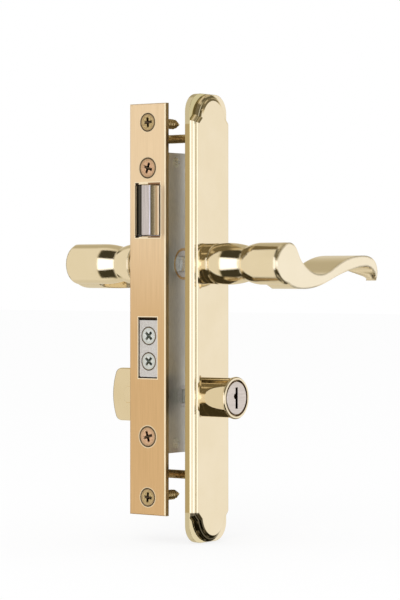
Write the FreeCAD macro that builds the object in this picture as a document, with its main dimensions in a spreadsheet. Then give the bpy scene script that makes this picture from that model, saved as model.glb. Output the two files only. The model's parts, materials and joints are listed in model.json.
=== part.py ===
import FreeCAD, Part
import math
import os
import re
import Sketcher
from FreeCAD import Placement, Rotation, Vector

# Mortise latch for a narrow door, in millimetres. X runs through the door towards its outside,
# Y runs into the door from the front of the faceplate, and Z is up. The origin is on the
# faceplate's front, at the height of the levers' spindle.

os.makedirs("parts", exist_ok=True)
doc = FreeCAD.newDocument("mortise_latch")

SIZES = {
    # clearances
    "part_gap": 0.3,
    "run_gap": 0.06,
    "fit_gap": 0.08,
    # places that the whole lock shares
    "backset": 17.2,
    "lock_drop": 64.7,
    "door_outside": 21.0,
    "door_inside": 12.7,
    # faceplate
    "faceplate_width": 22.2,
    "faceplate_ear_top": 23.9,
    "faceplate_ear_low": 30.1,
    "faceplate_thick": 2.4,
    "faceplate_round": 0.5,
    # screws through the faceplate
    "edge_screw_from_top": 9.1,
    "edge_screw_from_low": 8.6,
    "edge_head_radius": 4.23,
    "edge_neck_radius": 2.3,
    "edge_shank_radius": 2.1,
    "edge_screw_length": 25.0,
    "edge_point_length": 5.0,
    "case_screw_top": 46.6,
    "case_screw_low": -84.0,
    "case_head_radius": 4.76,
    "case_shank_radius": 2.4,
    "case_screw_length": 7.2,
    "head_rim": 0.35,
    "head_gap": 0.3,
    "head_depth": 1.9,
    "recess_reach": 0.6,
    "recess_width": 1.35,
    "recess_depth": 1.6,
    # case
    "case_width": 17.8,
    "case_wall": 1.2,
    "case_front_wall": 2.4,
    "case_depth": 38.0,
    "case_top": 54.0,
    "case_low": -92.0,
    "pillar_radius": 2.5,
    "pillar_from_front": 8.6,
    "pillar_from_edge": 4.6,
    "lid_screw_radius": 1.5,
    "lid_screw_head": 2.6,
    "lid_screw_length": 7.0,
    # latch
    "latch_width": 14.8,
    "latch_height": 24.0,
    "latch_middle": 25.9,
    "latch_throw": 7.5,
    "latch_rear": 12.0,
    "latch_crest": 5.1,
    "latch_crest_round": 0.5,
    "latch_bulge": 0.9,
    "latch_opening_side": 0.4,
    "latch_opening_end": 0.7,
    "latch_shoulder": 1.0,
    "opening_corner": 0.8,
    "tail_width": 7.0,
    "tail_low": 14.5,
    "tail_top": 18.0,
    "tail_leg_low": 8.8,
    "tail_leg_thick": 2.6,
    "latch_pull_gap": 0.35,
    "rod_radius": 2.0,
    "latch_spring_radius": 3.6,
    "latch_spring_wire": 0.9,
    "latch_spring_turns": 7,
    "stop_front": 27.5,
    "stop_thick": 2.0,
    "stop_height": 12.0,
    "rod_end": 30.6,
    # hub
    "hub_radius": 8.0,
    "hub_width": 13.2,
    "hub_journal": 6.5,
    "hub_arm_width": 6.0,
    "hub_arm_half": 2.0,
    "hub_arm_top": 12.0,
    "hub_lug_low": 14.5,
    "hub_bush_wall": 1.2,
    "hub_bush_flange": 8.4,
    "spindle_side": 7.14,
    "spindle_length": 92.0,
    "hub_spring_radius": 3.2,
    "hub_spring_wire": 0.9,
    "hub_spring_turns": 6,
    "hub_spring_drop": 11.2,
    # deadbolt
    "bolt_width": 11.2,
    "bolt_height": 27.7,
    "bolt_from_axis": 23.45,
    "bolt_recess": 0.8,
    "bolt_rear": 14.0,
    "bolt_throw": 12.7,
    "bolt_opening_side": 0.35,
    "bolt_opening_top": 0.9,
    "bolt_opening_low": 0.3,
    "bolt_screw_offset": 6.2,
    "bolt_screw_radius": 4.2,
    "bolt_screw_shank": 1.8,
    "bolt_screw_length": 17.0,
    "carriage_width": 10.6,
    "carriage_up": 13.25,
    "carriage_down": 11.25,
    "carriage_rear": 28.7,
    "carriage_leg_up": 5.3,
    "carriage_leg_thick": 2.6,
    "tongue_width": 3.2,
    "pin_radius": 2.0,
    "pin_slot": 4.8,
    "cam_hub_radius": 5.0,
    "cam_arm_radius": 2.6,
    "cam_arm_inner": 2.5,
    "cam_arm_outer": 6.5,
    "cam_ring_radius": 6.0,
    "tailpiece_thick": 2.0,
    "tailpiece_width": 6.8,
    "detent_thick": 0.6,
    "detent_width": 6.0,
    "detent_bump": 1.0,
    "detent_from_head": 3.2,
    "cam_rest": 45.0,
    # outside plate
    "plate_width": 29.6,
    "plate_top": 82.4,
    "plate_low": -135.0,
    "plate_base_thick": 2.84,
    "plate_thick": 6.3,
    "plate_groove_height": 5.0,
    "plate_groove_inset": 2.0,
    "plate_groove_step": 0.45,
    "plate_field_inset": 4.7,
    "plate_corner": 9.0,
    "plate_kink": 13.4,
    "plate_arch_half": 12.3,
    "plate_arch_height": 14.5,
    "plate_wall": 1.6,
    "plate_cavity_end": 18.0,
    "inside_plate_thick": 1.6,
    "inside_plate_width": 25.4,
    "inside_plate_short": 1.0,
    "inside_plate_corner": 8.0,
    # bolts that clamp the two plates
    "plate_bolt_top": 61.2,
    "plate_bolt_low": -103.0,
    "plate_bolt_radius": 2.0,
    "plate_bolt_head": 4.0,
    "plate_bolt_head_thick": 1.9,
    "plate_post_radius": 3.6,
    "plate_post_length": 8.0,
    # levers
    "collar_radius": 9.94,
    "collar_thick": 3.3,
    "collar_round": 0.8,
    "lever_journal": 8.0,
    "lever_journal_back": 5.0,
    "lever_neck": 10.1,
    "lever_foot_draw": 0.3,
    "lever_neck_at": 8.4,
    "lever_waist": 8.35,
    "lever_waist_at": 21.3,
    "lever_flare_bulge": 0.33,
    "lever_head": 10.05,
    "lever_head_at": 28.5,
    "inner_neck_at": 6.0,
    "inner_waist_at": 14.0,
    "inner_head_at": 26.0,
    "inner_flare_bulge": 0.42,
    "lever_front": 44.5,
    "lever_rim_round": 1.8,
    "lever_grip_width": 22.0,
    "lever_reach": 76.9,
    "lever_socket_end": 25.7,
    "bush_wall": 1.4,
    "bush_length": 3.2,
    "ring_groove": 0.8,
    "ring_thick": 1.1,
    "ring_back": 3.5,
    "set_screw_radius": 2.0,
    "set_screw_at": 7.2,
    # key cylinder
    "barrel_radius": 9.65,
    "barrel_front": 13.8,
    "rim_radius": 10.2,
    "rim_thick": 1.5,
    "rim_round": 0.6,
    "rim_face_radius": 8.85,
    "rim_face_sink": 1.3,
    "plug_head_radius": 7.95,
    "plug_head_thick": 2.6,
    "plug_round": 0.25,
    "plug_radius": 6.5,
    "nut_radius": 11.5,
    "thread_radius": 8.8,
    "cylinder_back": 7.8,
    "nut_thick": 2.8,
    "keyway_height": 10.2,
    "keyway_width": 1.9,
    "keyway_bulge": 1.3,
    "keyway_bulge_up": 0.9,
    "keyway_depth": 16.0,
    "wafer_count": 5,
    "wafer_pitch": 1.9,
    "wafer_thick": 0.9,
    "wafer_width": 5.0,
    "wafer_height": 11.4,
    "wafer_window": 4.0,
    "clip_thick": 0.8,
    # thumbturn
    "turn_collar_radius": 9.6,
    "turn_collar_thick": 3.0,
    "turn_stem_radius": 5.2,
    "turn_length": 19.9,
    "turn_height": 26.2,
    "turn_thick": 6.0,
    "turn_bulge": 2.8,
    "turn_stem_in": 9.7,
    "turn_corner": 3.4,
    "turn_edge_round": 2.2,
    "turn_socket_end": 15.0,
    "turn_screw_radius": 1.5,
    "turn_screw_at": 8.0,
}

# places that several pieces share, each worked out from the sizes above
PLACES = {
    "plate_front": "door_outside + plate_thick",
    "inside_front": "-(door_inside + inside_plate_thick)",
    "mirror_middle": "(door_outside + plate_thick - door_inside - inside_plate_thick) / 2",
    "case_half": "case_width / 2",
    "inner_half": "case_width / 2 - case_wall",
    "inner_front": "faceplate_thick + case_front_wall",
    "case_back": "faceplate_thick + case_depth",
    "inner_back": "faceplate_thick + case_depth - case_wall",
    "faceplate_top": "case_top + faceplate_ear_top",
    "faceplate_low": "case_low - faceplate_ear_low",
    "edge_screw_top": "case_top + faceplate_ear_top - edge_screw_from_top",
    "edge_screw_low": "case_low - faceplate_ear_low + edge_screw_from_low",
    "latch_low": "latch_middle - latch_height / 2",
    "latch_top": "latch_middle + latch_height / 2",
    "lock_axis": "-lock_drop",
    "bolt_middle": "bolt_from_axis - lock_drop",
    "bolt_low": "bolt_from_axis - lock_drop - bolt_height / 2",
    "bolt_top": "bolt_from_axis - lock_drop + bolt_height / 2",
    "carriage_top": "bolt_from_axis - lock_drop + carriage_up",
    "carriage_low": "bolt_from_axis - lock_drop - carriage_down",
    "carriage_leg_low": "carriage_leg_up - lock_drop",
    "plate_middle": "(plate_top + plate_low) / 2",
    "cavity_front": "door_outside + plate_thick - plate_wall",
    "cavity_half": "nut_radius + part_gap",
    "lever_base": "door_outside + plate_thick + collar_thick + part_gap",
    "cylinder_rear": "door_outside + plate_thick - cylinder_back",
    "cylinder_front": "door_outside + plate_thick + barrel_front",
    "turn_front": "-(door_inside + inside_plate_thick + turn_length)",
    "pin_reach": "bolt_throw / (2 * sin(cam_rest * 1deg))",
    "pin_y": "backset + bolt_throw / 2",
    "detent_y": "bolt_rear + detent_from_head",
}

sheet = doc.addObject("Spreadsheet::Sheet", "Sizes")
for row, (alias, number) in enumerate(SIZES.items(), 1):
    sheet.set("A%d" % row, alias)
    sheet.set("B%d" % row, str(number))
    sheet.setAlias("B%d" % row, alias)
doc.recompute()


def formula(text):
    """A sum of names, written the way that the document's expressions read it."""
    def owner(word):
        name = word.group(0)
        return ("Places." if name in PLACES else "Sizes." if name in SIZES else "") + name
    return re.sub(r"[a-z]\w+", owner, str(text))


places = doc.addObject("App::VarSet", "Places")
for name, text in PLACES.items():
    places.addProperty("App::PropertyFloat", name)
    places.setExpression(name, formula(text))
doc.recompute()

NODES = {}
ALONG = {"x": Rotation(Vector(0, 1, 0), 90), "y": Rotation(Vector(1, 0, 0), -90), "z": Rotation()}
OTHERS = {"x": "yz", "y": "xz", "z": "xy"}


def size(name):
    """The number behind one name, for the shapes that are worked out in code."""
    return getattr(places, name) if name in PLACES else float(sheet.get(name))


def bind(thing, **texts):
    """Tie an object's sizes to sums of names; two underscores stand for a dot."""
    for place, text in texts.items():
        thing.setExpression(place.replace("__", "."), formula(text))
    return thing


def node(label, thing):
    """Name a finished sub-part."""
    thing.Label = label
    NODES[label] = thing
    return thing


def block(x, y, z, name="block"):
    """A box between two sums along each axis."""
    thing = doc.addObject("Part::Box", name)
    for (low, high), side, axis in zip((x, y, z), ("Length", "Width", "Height"), "xyz"):
        thing.setExpression(side, formula("(%s) - (%s)" % (high, low)))
        thing.setExpression("Placement.Base." + axis, formula(low))
    return thing


def put_along(thing, axis, low, high, at):
    """Lay a round primitive along an axis from low to high, at the other two places."""
    thing.Placement = Placement(Vector(), ALONG[axis])
    thing.setExpression("Height", formula("(%s) - (%s)" % (high, low)))
    for side, text in zip(axis + OTHERS[axis], (low,) + tuple(at)):
        thing.setExpression("Placement.Base." + side, formula(text))
    return thing


def rod(axis, radius, low, high, at, name="rod"):
    """A cylinder along an axis."""
    thing = doc.addObject("Part::Cylinder", name)
    thing.setExpression("Radius", formula(radius))
    return put_along(thing, axis, low, high, at)


def taper(axis, radius_low, radius_high, low, high, at, name="taper"):
    """A cone along an axis."""
    thing = doc.addObject("Part::Cone", name)
    thing.setExpression("Radius1", formula(radius_low))
    thing.setExpression("Radius2", formula(radius_high))
    return put_along(thing, axis, low, high, at)


def join(*parts, name="joined"):
    """One solid made of several."""
    thing = doc.addObject("Part::MultiFuse", name)
    thing.Shapes = list(parts)
    thing.Refine = True
    return thing


def cut(base, *tools, name="cut"):
    """A piece with material taken away."""
    thing = doc.addObject("Part::Cut", name)
    thing.Base = base
    thing.Tool = tools[0] if len(tools) == 1 else join(*tools, name="tools")
    thing.Refine = True
    return thing


def group(*parts, name="group"):
    """Several separate solids that share one node."""
    thing = doc.addObject("Part::Compound", name)
    thing.Links = list(parts)
    return thing


def shaped(shape, name="shaped"):
    """A piece whose shape is worked out in code."""
    thing = doc.addObject("Part::Feature", name)
    thing.Shape = shape
    return thing


def origin_plane(body, role):
    return next(plane for plane in body.Origin.OriginFeatures if plane.Role == role)


def sketch_on(body, role, name, offset="0"):
    """An empty sketch on one of a body's own origin planes."""
    sketch = body.newObject("Sketcher::SketchObject", name)
    sketch.AttachmentSupport = [(origin_plane(body, role), "")]
    sketch.MapMode = "FlatFace"
    sketch.setExpression("AttachmentOffset.Base.z", formula(offset))
    return sketch


def draw_rectangle(sketch, across, up):
    """A rectangle between two sums each way, held by named dimensions from the origin."""
    corners = [Vector(x, y) for x, y in ((-1, -1), (1, -1), (1, 1), (-1, 1))]
    lines = [sketch.addGeometry(Part.LineSegment(corners[i], corners[(i + 1) % 4]), False)
             for i in range(4)]
    for i in range(4):
        sketch.addConstraint(Sketcher.Constraint("Coincident", lines[i], 2, lines[(i + 1) % 4], 1))
        way = "Horizontal" if i % 2 == 0 else "Vertical"
        sketch.addConstraint(Sketcher.Constraint(way, lines[i]))
    for way, line, end, text in (("DistanceX", lines[0], 1, across[0]), ("DistanceX", lines[1], 1, across[1]),
                                 ("DistanceY", lines[0], 1, up[0]), ("DistanceY", lines[2], 1, up[1])):
        number = sketch.addConstraint(Sketcher.Constraint(way, -1, 1, line, end, 1.0))
        sketch.setExpression("Constraints[%d]" % number, formula(text))
    return lines


def pad(body, sketch, length, name, reverse=False):
    feature = body.newObject("PartDesign::Pad", name)
    feature.Profile = sketch
    feature.Reversed = reverse
    feature.setExpression("Length", formula(length))
    return feature


def pocket(body, sketch, length, name, reverse=False):
    """A pocket that must take material away."""
    doc.recompute()
    before = body.Shape.Volume
    feature = body.newObject("PartDesign::Pocket", name)
    feature.Profile = sketch
    feature.Reversed = reverse
    feature.setExpression("Length", formula(length))
    doc.recompute()
    if not body.Shape.Volume < before:
        raise ValueError(name + " cuts nothing")
    return feature


def edges_where(shape, test):
    """The names of the edges that pass a test."""
    return ["Edge%d" % number for number, edge in enumerate(shape.Edges, 1) if test(edge)]


def round_edges(body, name, radius, test):
    """Round the edges of a body that pass a test."""
    doc.recompute()
    base = body.Tip
    chosen = edges_where(base.Shape, test)
    feature = body.newObject("PartDesign::Fillet", name)
    feature.Base = (base, chosen)
    feature.setExpression("Radius", formula(radius))
    doc.recompute()
    return feature


def runs_along(edge, axis):
    """True for a straight edge parallel to an axis."""
    if not isinstance(edge.Curve, Part.Line):
        return False
    return abs(abs(edge.Curve.Direction.dot(axis)) - 1) < 1e-6


def rounded(base, radius, test, name="rounded"):
    """A piece with some of its edges rounded."""
    doc.recompute()
    chosen = [number for number, edge in enumerate(base.Shape.Edges, 1) if test(edge)]
    thing = doc.addObject("Part::Fillet", name)
    thing.Base = base
    thing.Edges = [(number, size(radius), size(radius)) for number in chosen]
    return thing


def side(text):
    """A pair of sums at equal distances either side of zero."""
    return ("-(%s)" % text, text)


def about(middle, text):
    """A pair of sums at equal distances either side of a middle."""
    return ("%s - (%s)" % (middle, text), "%s + (%s)" % (middle, text))


def cross_recess(axis, head, face, at, turn=0):
    """The tapered cross in a screw's head, sunk along the axis and turned by some degrees."""
    reach = head + " * recess_reach"
    centre = ("0", "0")
    cone = taper(axis, reach, "recess_width / 2", "0", "recess_depth", centre, "recess_cone")
    bars = []
    for long_side, short_side in (OTHERS[axis], OTHERS[axis][::-1]):
        spans = {axis: ("0", "recess_depth"), long_side: side(reach), short_side: side("recess_width / 2")}
        bars.append(block(spans["x"], spans["y"], spans["z"], "recess_bar"))
    cross = doc.addObject("Part::Common", "recess")
    cross.Base = join(*bars, name="recess_cross")
    cross.Tool = cone
    line = Vector(axis == "x", axis == "y", axis == "z")
    cross.Placement = Placement(Vector(), Rotation(line, turn))
    for way, text in zip(axis + OTHERS[axis], (face,) + tuple(at)):
        cross.setExpression("Placement.Base." + way, formula(text))
    return cross


def countersunk_screw(head, shank, front, length, at, neck=None, point=None, turn=0):
    """A countersunk screw along Y, with a plain neck and a point if it is a wood screw."""
    end = "%s + %s" % (front, length)
    parts = [rod("y", head, front, front + " + head_rim", at),
             taper("y", head, neck or shank, front + " + head_rim", front + " + head_depth", at)]
    start = front + " + head_depth"
    if neck is not None:
        parts.append(rod("y", neck, start, "faceplate_thick + part_gap", at))
        start = "faceplate_thick + part_gap"
    if point is not None:
        parts.append(taper("y", shank, "recess_width / 4", "%s - %s" % (end, point), end, at))
        end = "%s - %s" % (end, point)
    parts.append(rod("y", shank, start, end, at))
    return cut(join(*parts, name="screw"), cross_recess("y", head, front, at, turn))


def countersunk_hole(head, shank, front, back, at):
    """The hole that such a screw sits in, wider all round by the fitting clearance."""
    wide = head + " + head_gap"
    narrow = shank + " + fit_gap"
    return join(rod("y", wide, front + " - part_gap", front + " + head_rim", at),
                taper("y", wide, narrow, front + " + head_rim", front + " + head_depth", at),
                rod("y", narrow, front + " + head_depth", back, at), name="screw_hole")


def ring(axis, outer, inner, low, high, at, name="ring"):
    """A round tube along an axis."""
    hole = rod(axis, inner, "%s - part_gap" % low, "%s + part_gap" % high, at)
    return cut(rod(axis, outer, low, high, at), hole, name=name)


def coil_spring(radius, wire, turns, start, end, across, up):
    """A round wire wound along Y, as one pipe on arcs that meet at equal tangents."""
    steps = int(turns) * 4
    pitch = (end - start) / turns

    def place(step):
        angle = step * math.pi / 2
        spot = Vector(across + radius * math.cos(angle), start + pitch * step / 4,
                      up + radius * math.sin(angle))
        way = Vector(-radius * math.sin(angle), pitch / (2 * math.pi), radius * math.cos(angle))
        return spot, way.normalize()

    edges = []
    for step in range(steps):
        (here, way), (there, way_on) = place(step), place(step + 1)
        gap = there - here
        lead = gap.dot(way + way_on)
        spread = 2 * (1 - way.dot(way_on))
        reach = (math.sqrt(lead * lead + spread * gap.dot(gap)) - lead) / spread
        joint = (here + way * reach + there - way_on * reach) * 0.5
        for first, direction, last in ((here, way, joint), (joint, None, there)):
            if direction is None:
                corner = there - way_on * reach
            else:
                corner = here + way * reach
            middle_way = (corner - (first + last) * 0.5)
            half = (last - first).Length / 2
            rise = middle_way.Length
            bulge = half * (math.sqrt(half * half + rise * rise) - half) / rise
            middle = (first + last) * 0.5 + middle_way.normalize() * bulge
            edges.append(Part.Arc(first, middle, last).toShape())
    path = Part.Wire(edges)
    spot, way = place(0)
    section = Part.Wire(Part.makeCircle(wire / 2, spot, way))
    shell = Part.BRepOffsetAPI.MakePipeShell(path)
    shell.add(section)
    shell.build()
    shell.makeSolid()
    solid = shell.shape()
    print("coil of %d turns: volume %.3f, section times length %.3f"
          % (turns, solid.Volume, math.pi * wire * wire / 4 * path.Length))
    return solid


# faceplate and the screws in it

EDGE_SCREWS = [("0", "edge_screw_top"), ("0", "edge_screw_low")]
EDGE_TURNS = (-4, 6)
CASE_SCREWS = [("0", "case_screw_top"), ("0", "case_screw_low")]
CASE_TURNS = (20, -17)
BOLT_SCREWS = [("0", "bolt_middle + bolt_screw_offset"), ("0", "bolt_middle - bolt_screw_offset")]
BOLT_TURN = 42


def make_faceplate():
    body = doc.addObject("PartDesign::Body", "faceplate_blank")
    outline = sketch_on(body, "XZ_Plane", "faceplate_outline")
    draw_rectangle(outline, side("faceplate_width / 2"), ("faceplate_low", "faceplate_top"))
    pad(body, outline, "faceplate_thick", "faceplate_pad", reverse=True)
    openings = (
        ("latch", side("latch_width / 2 + latch_opening_side"),
         ("latch_low - latch_opening_end", "latch_top + latch_opening_end")),
        ("bolt", side("bolt_width / 2 + bolt_opening_side"),
         ("bolt_low - bolt_opening_low", "bolt_top + bolt_opening_top")))
    for name, across, up in openings:
        outline = sketch_on(body, "XZ_Plane", name + "_opening_outline")
        draw_rectangle(outline, across, up)
        pocket(body, outline, "faceplate_thick", name + "_opening", reverse=False)
    doc.recompute()
    half = size("faceplate_width") / 2
    round_edges(body, "opening_corners", "opening_corner",
                lambda edge: runs_along(edge, Vector(0, 1, 0)) and abs(edge.CenterOfMass.x) < half - 1)
    round_edges(body, "front_edges", "faceplate_round",
                lambda edge: edge.BoundBox.YMax < 1e-6 and
                (abs(edge.CenterOfMass.x) > half - 1e-6 or edge.BoundBox.XLength > half * 2 - 1e-6))
    holes = [countersunk_hole("edge_head_radius", "edge_neck_radius", "0", "faceplate_thick + part_gap", at)
             for at in EDGE_SCREWS]
    holes += [countersunk_hole("case_head_radius", "case_shank_radius", "0", "faceplate_thick + part_gap", at)
              for at in CASE_SCREWS]
    node("faceplate", cut(body, *holes, name="faceplate_cut"))


def make_faceplate_screws():
    node("door_edge_screws", group(*[
        countersunk_screw("edge_head_radius", "edge_shank_radius", "0", "edge_screw_length", at,
                          "edge_neck_radius", "edge_point_length", turn)
        for at, turn in zip(EDGE_SCREWS, EDGE_TURNS)], name="edge_screws"))
    node("faceplate_case_screws", group(*[
        countersunk_screw("case_head_radius", "case_shank_radius", "0", "case_screw_length", at, turn=turn)
        for at, turn in zip(CASE_SCREWS, CASE_TURNS)], name="case_front_screws"))


# case

PILLARS = [(y, z) for y in ("faceplate_thick + pillar_from_front", "case_back - pillar_from_edge")
           for z in ("case_top - pillar_from_edge", "case_low + pillar_from_edge")]
HUB_AXIS = ("backset", "0")
LOCK_AXIS = ("backset", "lock_axis")
BUSH_RADIUS = "hub_journal + run_gap + hub_bush_wall"


def wall_holes(low, high):
    """The holes for the hub's bush and the cam's hub in one wall of the case."""
    return [rod("x", BUSH_RADIUS, low, high, HUB_AXIS, "bush_hole"),
            rod("x", "cam_hub_radius + run_gap", low, high, LOCK_AXIS, "cam_hole")]


def lid_screw_shapes():
    """The four lid screws, flush with the cover's outside."""
    return [join(taper("x", "lid_screw_radius", "lid_screw_head", "inner_half", "case_half", at),
                 rod("x", "lid_screw_radius", "case_half - lid_screw_length", "inner_half", at),
                 name="lid_screw") for at in PILLARS]


def make_case():
    shell = block(side("case_half"), ("faceplate_thick", "case_back"), ("case_low", "case_top"), "case_block")
    hollow = block(("-inner_half", "case_half + part_gap"), ("inner_front", "inner_back"),
                   ("case_low + case_wall", "case_top - case_wall"), "case_hollow")
    seat = block(("inner_half", "case_half + part_gap"), ("inner_front", "case_back + part_gap"),
                 ("case_low - part_gap", "case_top + part_gap"), "cover_seat")
    latch_way = block(side("latch_width / 2 + part_gap"), ("0", "inner_front + part_gap"),
                      ("latch_low - part_gap", "latch_top + part_gap"), "latch_way")
    bolt_way = block(side("bolt_width / 2 + part_gap"), ("0", "inner_front + part_gap"),
                     ("bolt_low - part_gap", "bolt_top + part_gap"), "bolt_way")
    tapped = [rod("y", "case_shank_radius", "0", "case_screw_length", at, "tapped_hole")
              for at in CASE_SCREWS]
    node("case_body", cut(shell, hollow, seat, latch_way, bolt_way, *tapped,
                          *wall_holes("-case_half - part_gap", "-inner_half + part_gap"), name="case_tray"))
    cover = block(("inner_half", "case_half"), ("inner_front", "case_back"), ("case_low", "case_top"), "lid")
    node("case_cover", cut(cover, *wall_holes("inner_half - part_gap", "case_half + part_gap"),
                           *lid_screw_shapes(), name="case_lid"))
    posts = [rod("x", "pillar_radius", "-inner_half", "inner_half", at, "pillar") for at in PILLARS]
    node("case_pillars", cut(group(*posts), *lid_screw_shapes(), name="pillars"))
    slots = [block(("case_half - head_rim", "case_half + part_gap"), about(y, "lid_screw_head"),
                   about(z, "recess_width / 2"), "slot") for y, z in PILLARS]
    node("case_screws", cut(group(*lid_screw_shapes()), *slots, name="lid_screws"))


# latch

def make_latch_head():
    body = doc.addObject("PartDesign::Body", "latch_blank")
    sketch = sketch_on(body, "XY_Plane", "latch_profile", "latch_low")
    half, rear, throw = size("latch_width") / 2, size("latch_rear"), size("latch_throw")
    crest = half - size("latch_crest")
    corners = [Vector(half, rear), Vector(half, -throw), Vector(crest, -throw), Vector(-half, 0),
               Vector(-half, rear)]
    lines = [sketch.addGeometry(Part.LineSegment(corners[i], corners[(i + 1) % 5]), False)
             for i in (0, 1, 3, 4)]
    chord = corners[3] - corners[2]
    bulge = Vector(-throw, -(crest + half)).normalize() * size("latch_bulge")
    middle = corners[2] + chord * 0.5 + bulge
    arc = sketch.addGeometry(Part.Arc(corners[2], middle, corners[3]), False)
    flat, tip, near, back = lines
    starts_at_crest = (sketch.getPoint(arc, 1) - corners[2]).Length < 1e-6
    arc_ends = (1, 2) if starts_at_crest else (2, 1)
    joins = [(flat, 2, tip, 1), (tip, 2, arc, arc_ends[0]), (arc, arc_ends[1], near, 1),
             (near, 2, back, 1), (back, 2, flat, 1)]
    for first, end, second, other in joins:
        sketch.addConstraint(Sketcher.Constraint("Coincident", first, end, second, other))
    for way, line in (("Vertical", flat), ("Horizontal", tip), ("Vertical", near), ("Horizontal", back)):
        sketch.addConstraint(Sketcher.Constraint(way, line))
    held = (("DistanceX", flat, 1, half, "latch_width / 2"), ("DistanceY", flat, 1, rear, "latch_rear"),
            ("DistanceY", flat, 2, -throw, "-latch_throw"),
            ("DistanceX", tip, 2, crest, "latch_width / 2 - latch_crest"),
            ("DistanceX", near, 1, -half, "-latch_width / 2"), ("DistanceY", near, 1, 0.0, "0"))
    for way, line, end, number, text in held:
        place = sketch.addConstraint(Sketcher.Constraint(way, -1, 1, line, end, number))
        sketch.setExpression("Constraints[%d]" % place, formula(text))
    chord_squared = "((latch_width - latch_crest) ^ 2 + latch_throw ^ 2)"
    radius = sketch.addConstraint(Sketcher.Constraint("Radius", arc, sketch.Geometry[arc].Radius))
    sketch.setExpression("Constraints[%d]" % radius,
                         formula(chord_squared + " / (8 * latch_bulge) + latch_bulge / 2"))
    pad(body, sketch, "latch_height", "latch_pad")
    doc.recompute()
    round_edges(body, "latch_crest_edges", "latch_crest_round",
                lambda edge: runs_along(edge, Vector(0, 0, 1)) and edge.CenterOfMass.y < 0.1 - throw)
    shoulder = block(side("latch_width / 2"), ("inner_front + part_gap", "latch_rear"),
                     ("latch_low - latch_shoulder", "latch_top + latch_shoulder"), "latch_shoulder_block")
    socket = rod("y", "rod_radius", "latch_rear - rod_radius * 2", "latch_rear + part_gap",
                 ("0", "latch_middle"), "rod_socket")
    node("latch_head", cut(join(body, shoulder, name="latch_solid"), socket, name="latch_cut"))


def make_latch_train():
    leg_front = "backset + hub_arm_half + latch_pull_gap"
    node("latch_tail", join(
        block(side("tail_width / 2"), ("latch_rear", leg_front + " + tail_leg_thick"),
              ("tail_low", "tail_top"), "tail_bar"),
        block(side("tail_width / 2"), (leg_front, leg_front + " + tail_leg_thick"),
              ("tail_leg_low", "tail_top"), "tail_leg"), name="tail"))
    at = ("0", "latch_middle")
    node("latch_rod", rod("y", "rod_radius", "latch_rear - rod_radius * 2", "rod_end", at, "guide_rod"))
    node("latch_spring_stop", cut(join(
        block(side("inner_half"), ("stop_front", "stop_front + stop_thick"),
              about("latch_middle", "stop_height / 2"), "stop_wall"),
        block(("-inner_half", "-inner_half + case_wall"), ("stop_front - stop_height / 2", "stop_front"),
              about("latch_middle", "stop_height / 2"), "stop_foot"), name="stop"),
        rod("y", "rod_radius + run_gap", "stop_front - part_gap", "stop_front + stop_thick + part_gap", at),
        name="spring_stop"))
    wire = size("latch_spring_wire")
    node("latch_spring", shaped(coil_spring(
        size("latch_spring_radius"), wire, size("latch_spring_turns"),
        size("latch_rear") + wire / 2 + size("part_gap"),
        size("stop_front") - wire / 2 - size("part_gap"), 0, size("latch_middle")), "latch_coil"))


# hub

def make_hub():
    arms = block(side("hub_arm_width / 2"), about("backset", "hub_arm_half"),
                 ("-hub_lug_low", "hub_arm_top"), "hub_arms")
    ends = join(rod("x", "hub_arm_top", *side("hub_arm_width / 2"), HUB_AXIS),
                block(side("hub_arm_width / 2"), about("backset", "hub_arm_half"), ("-hub_lug_low", "0")))
    trimmed = doc.addObject("Part::Common", "hub_arm_shape")
    trimmed.Base = arms
    trimmed.Tool = ends
    square = block(side("case_half + part_gap"), about("backset", "spindle_side / 2 + fit_gap"),
                   side("spindle_side / 2 + fit_gap"), "square_hole")
    node("latch_hub", cut(join(rod("x", "hub_radius", *side("hub_width / 2"), HUB_AXIS),
                               rod("x", "hub_journal", *side("case_half"), HUB_AXIS), trimmed,
                               name="hub_solid"), square, name="hub"))
    bushes = []
    inner = "hub_journal + run_gap"
    for low, high, flange_low, flange_high in (
            ("inner_half", "case_half", "hub_width / 2 + part_gap", "inner_half"),
            ("-case_half", "-inner_half", "-inner_half", "-hub_width / 2 - part_gap")):
        solid = join(rod("x", BUSH_RADIUS, low, high, HUB_AXIS),
                     rod("x", "hub_bush_flange", flange_low, flange_high, HUB_AXIS))
        bushes.append(cut(solid, rod("x", inner, *side("case_half + part_gap"), HUB_AXIS), name="hub_bush"))
    node("hub_bushes", group(*bushes, name="bushes"))
    wire = size("hub_spring_wire")
    node("hub_spring", shaped(coil_spring(
        size("hub_spring_radius"), wire, size("hub_spring_turns"), size("inner_front") + wire / 2,
        size("backset") - size("hub_arm_half") - wire / 2 - size("part_gap"), 0,
        -size("hub_spring_drop")), "hub_coil"))
    node("spindle", block(about("mirror_middle", "spindle_length / 2"),
                          about("backset", "spindle_side / 2"), side("spindle_side / 2"), "spindle_bar"))


# deadbolt

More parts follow.
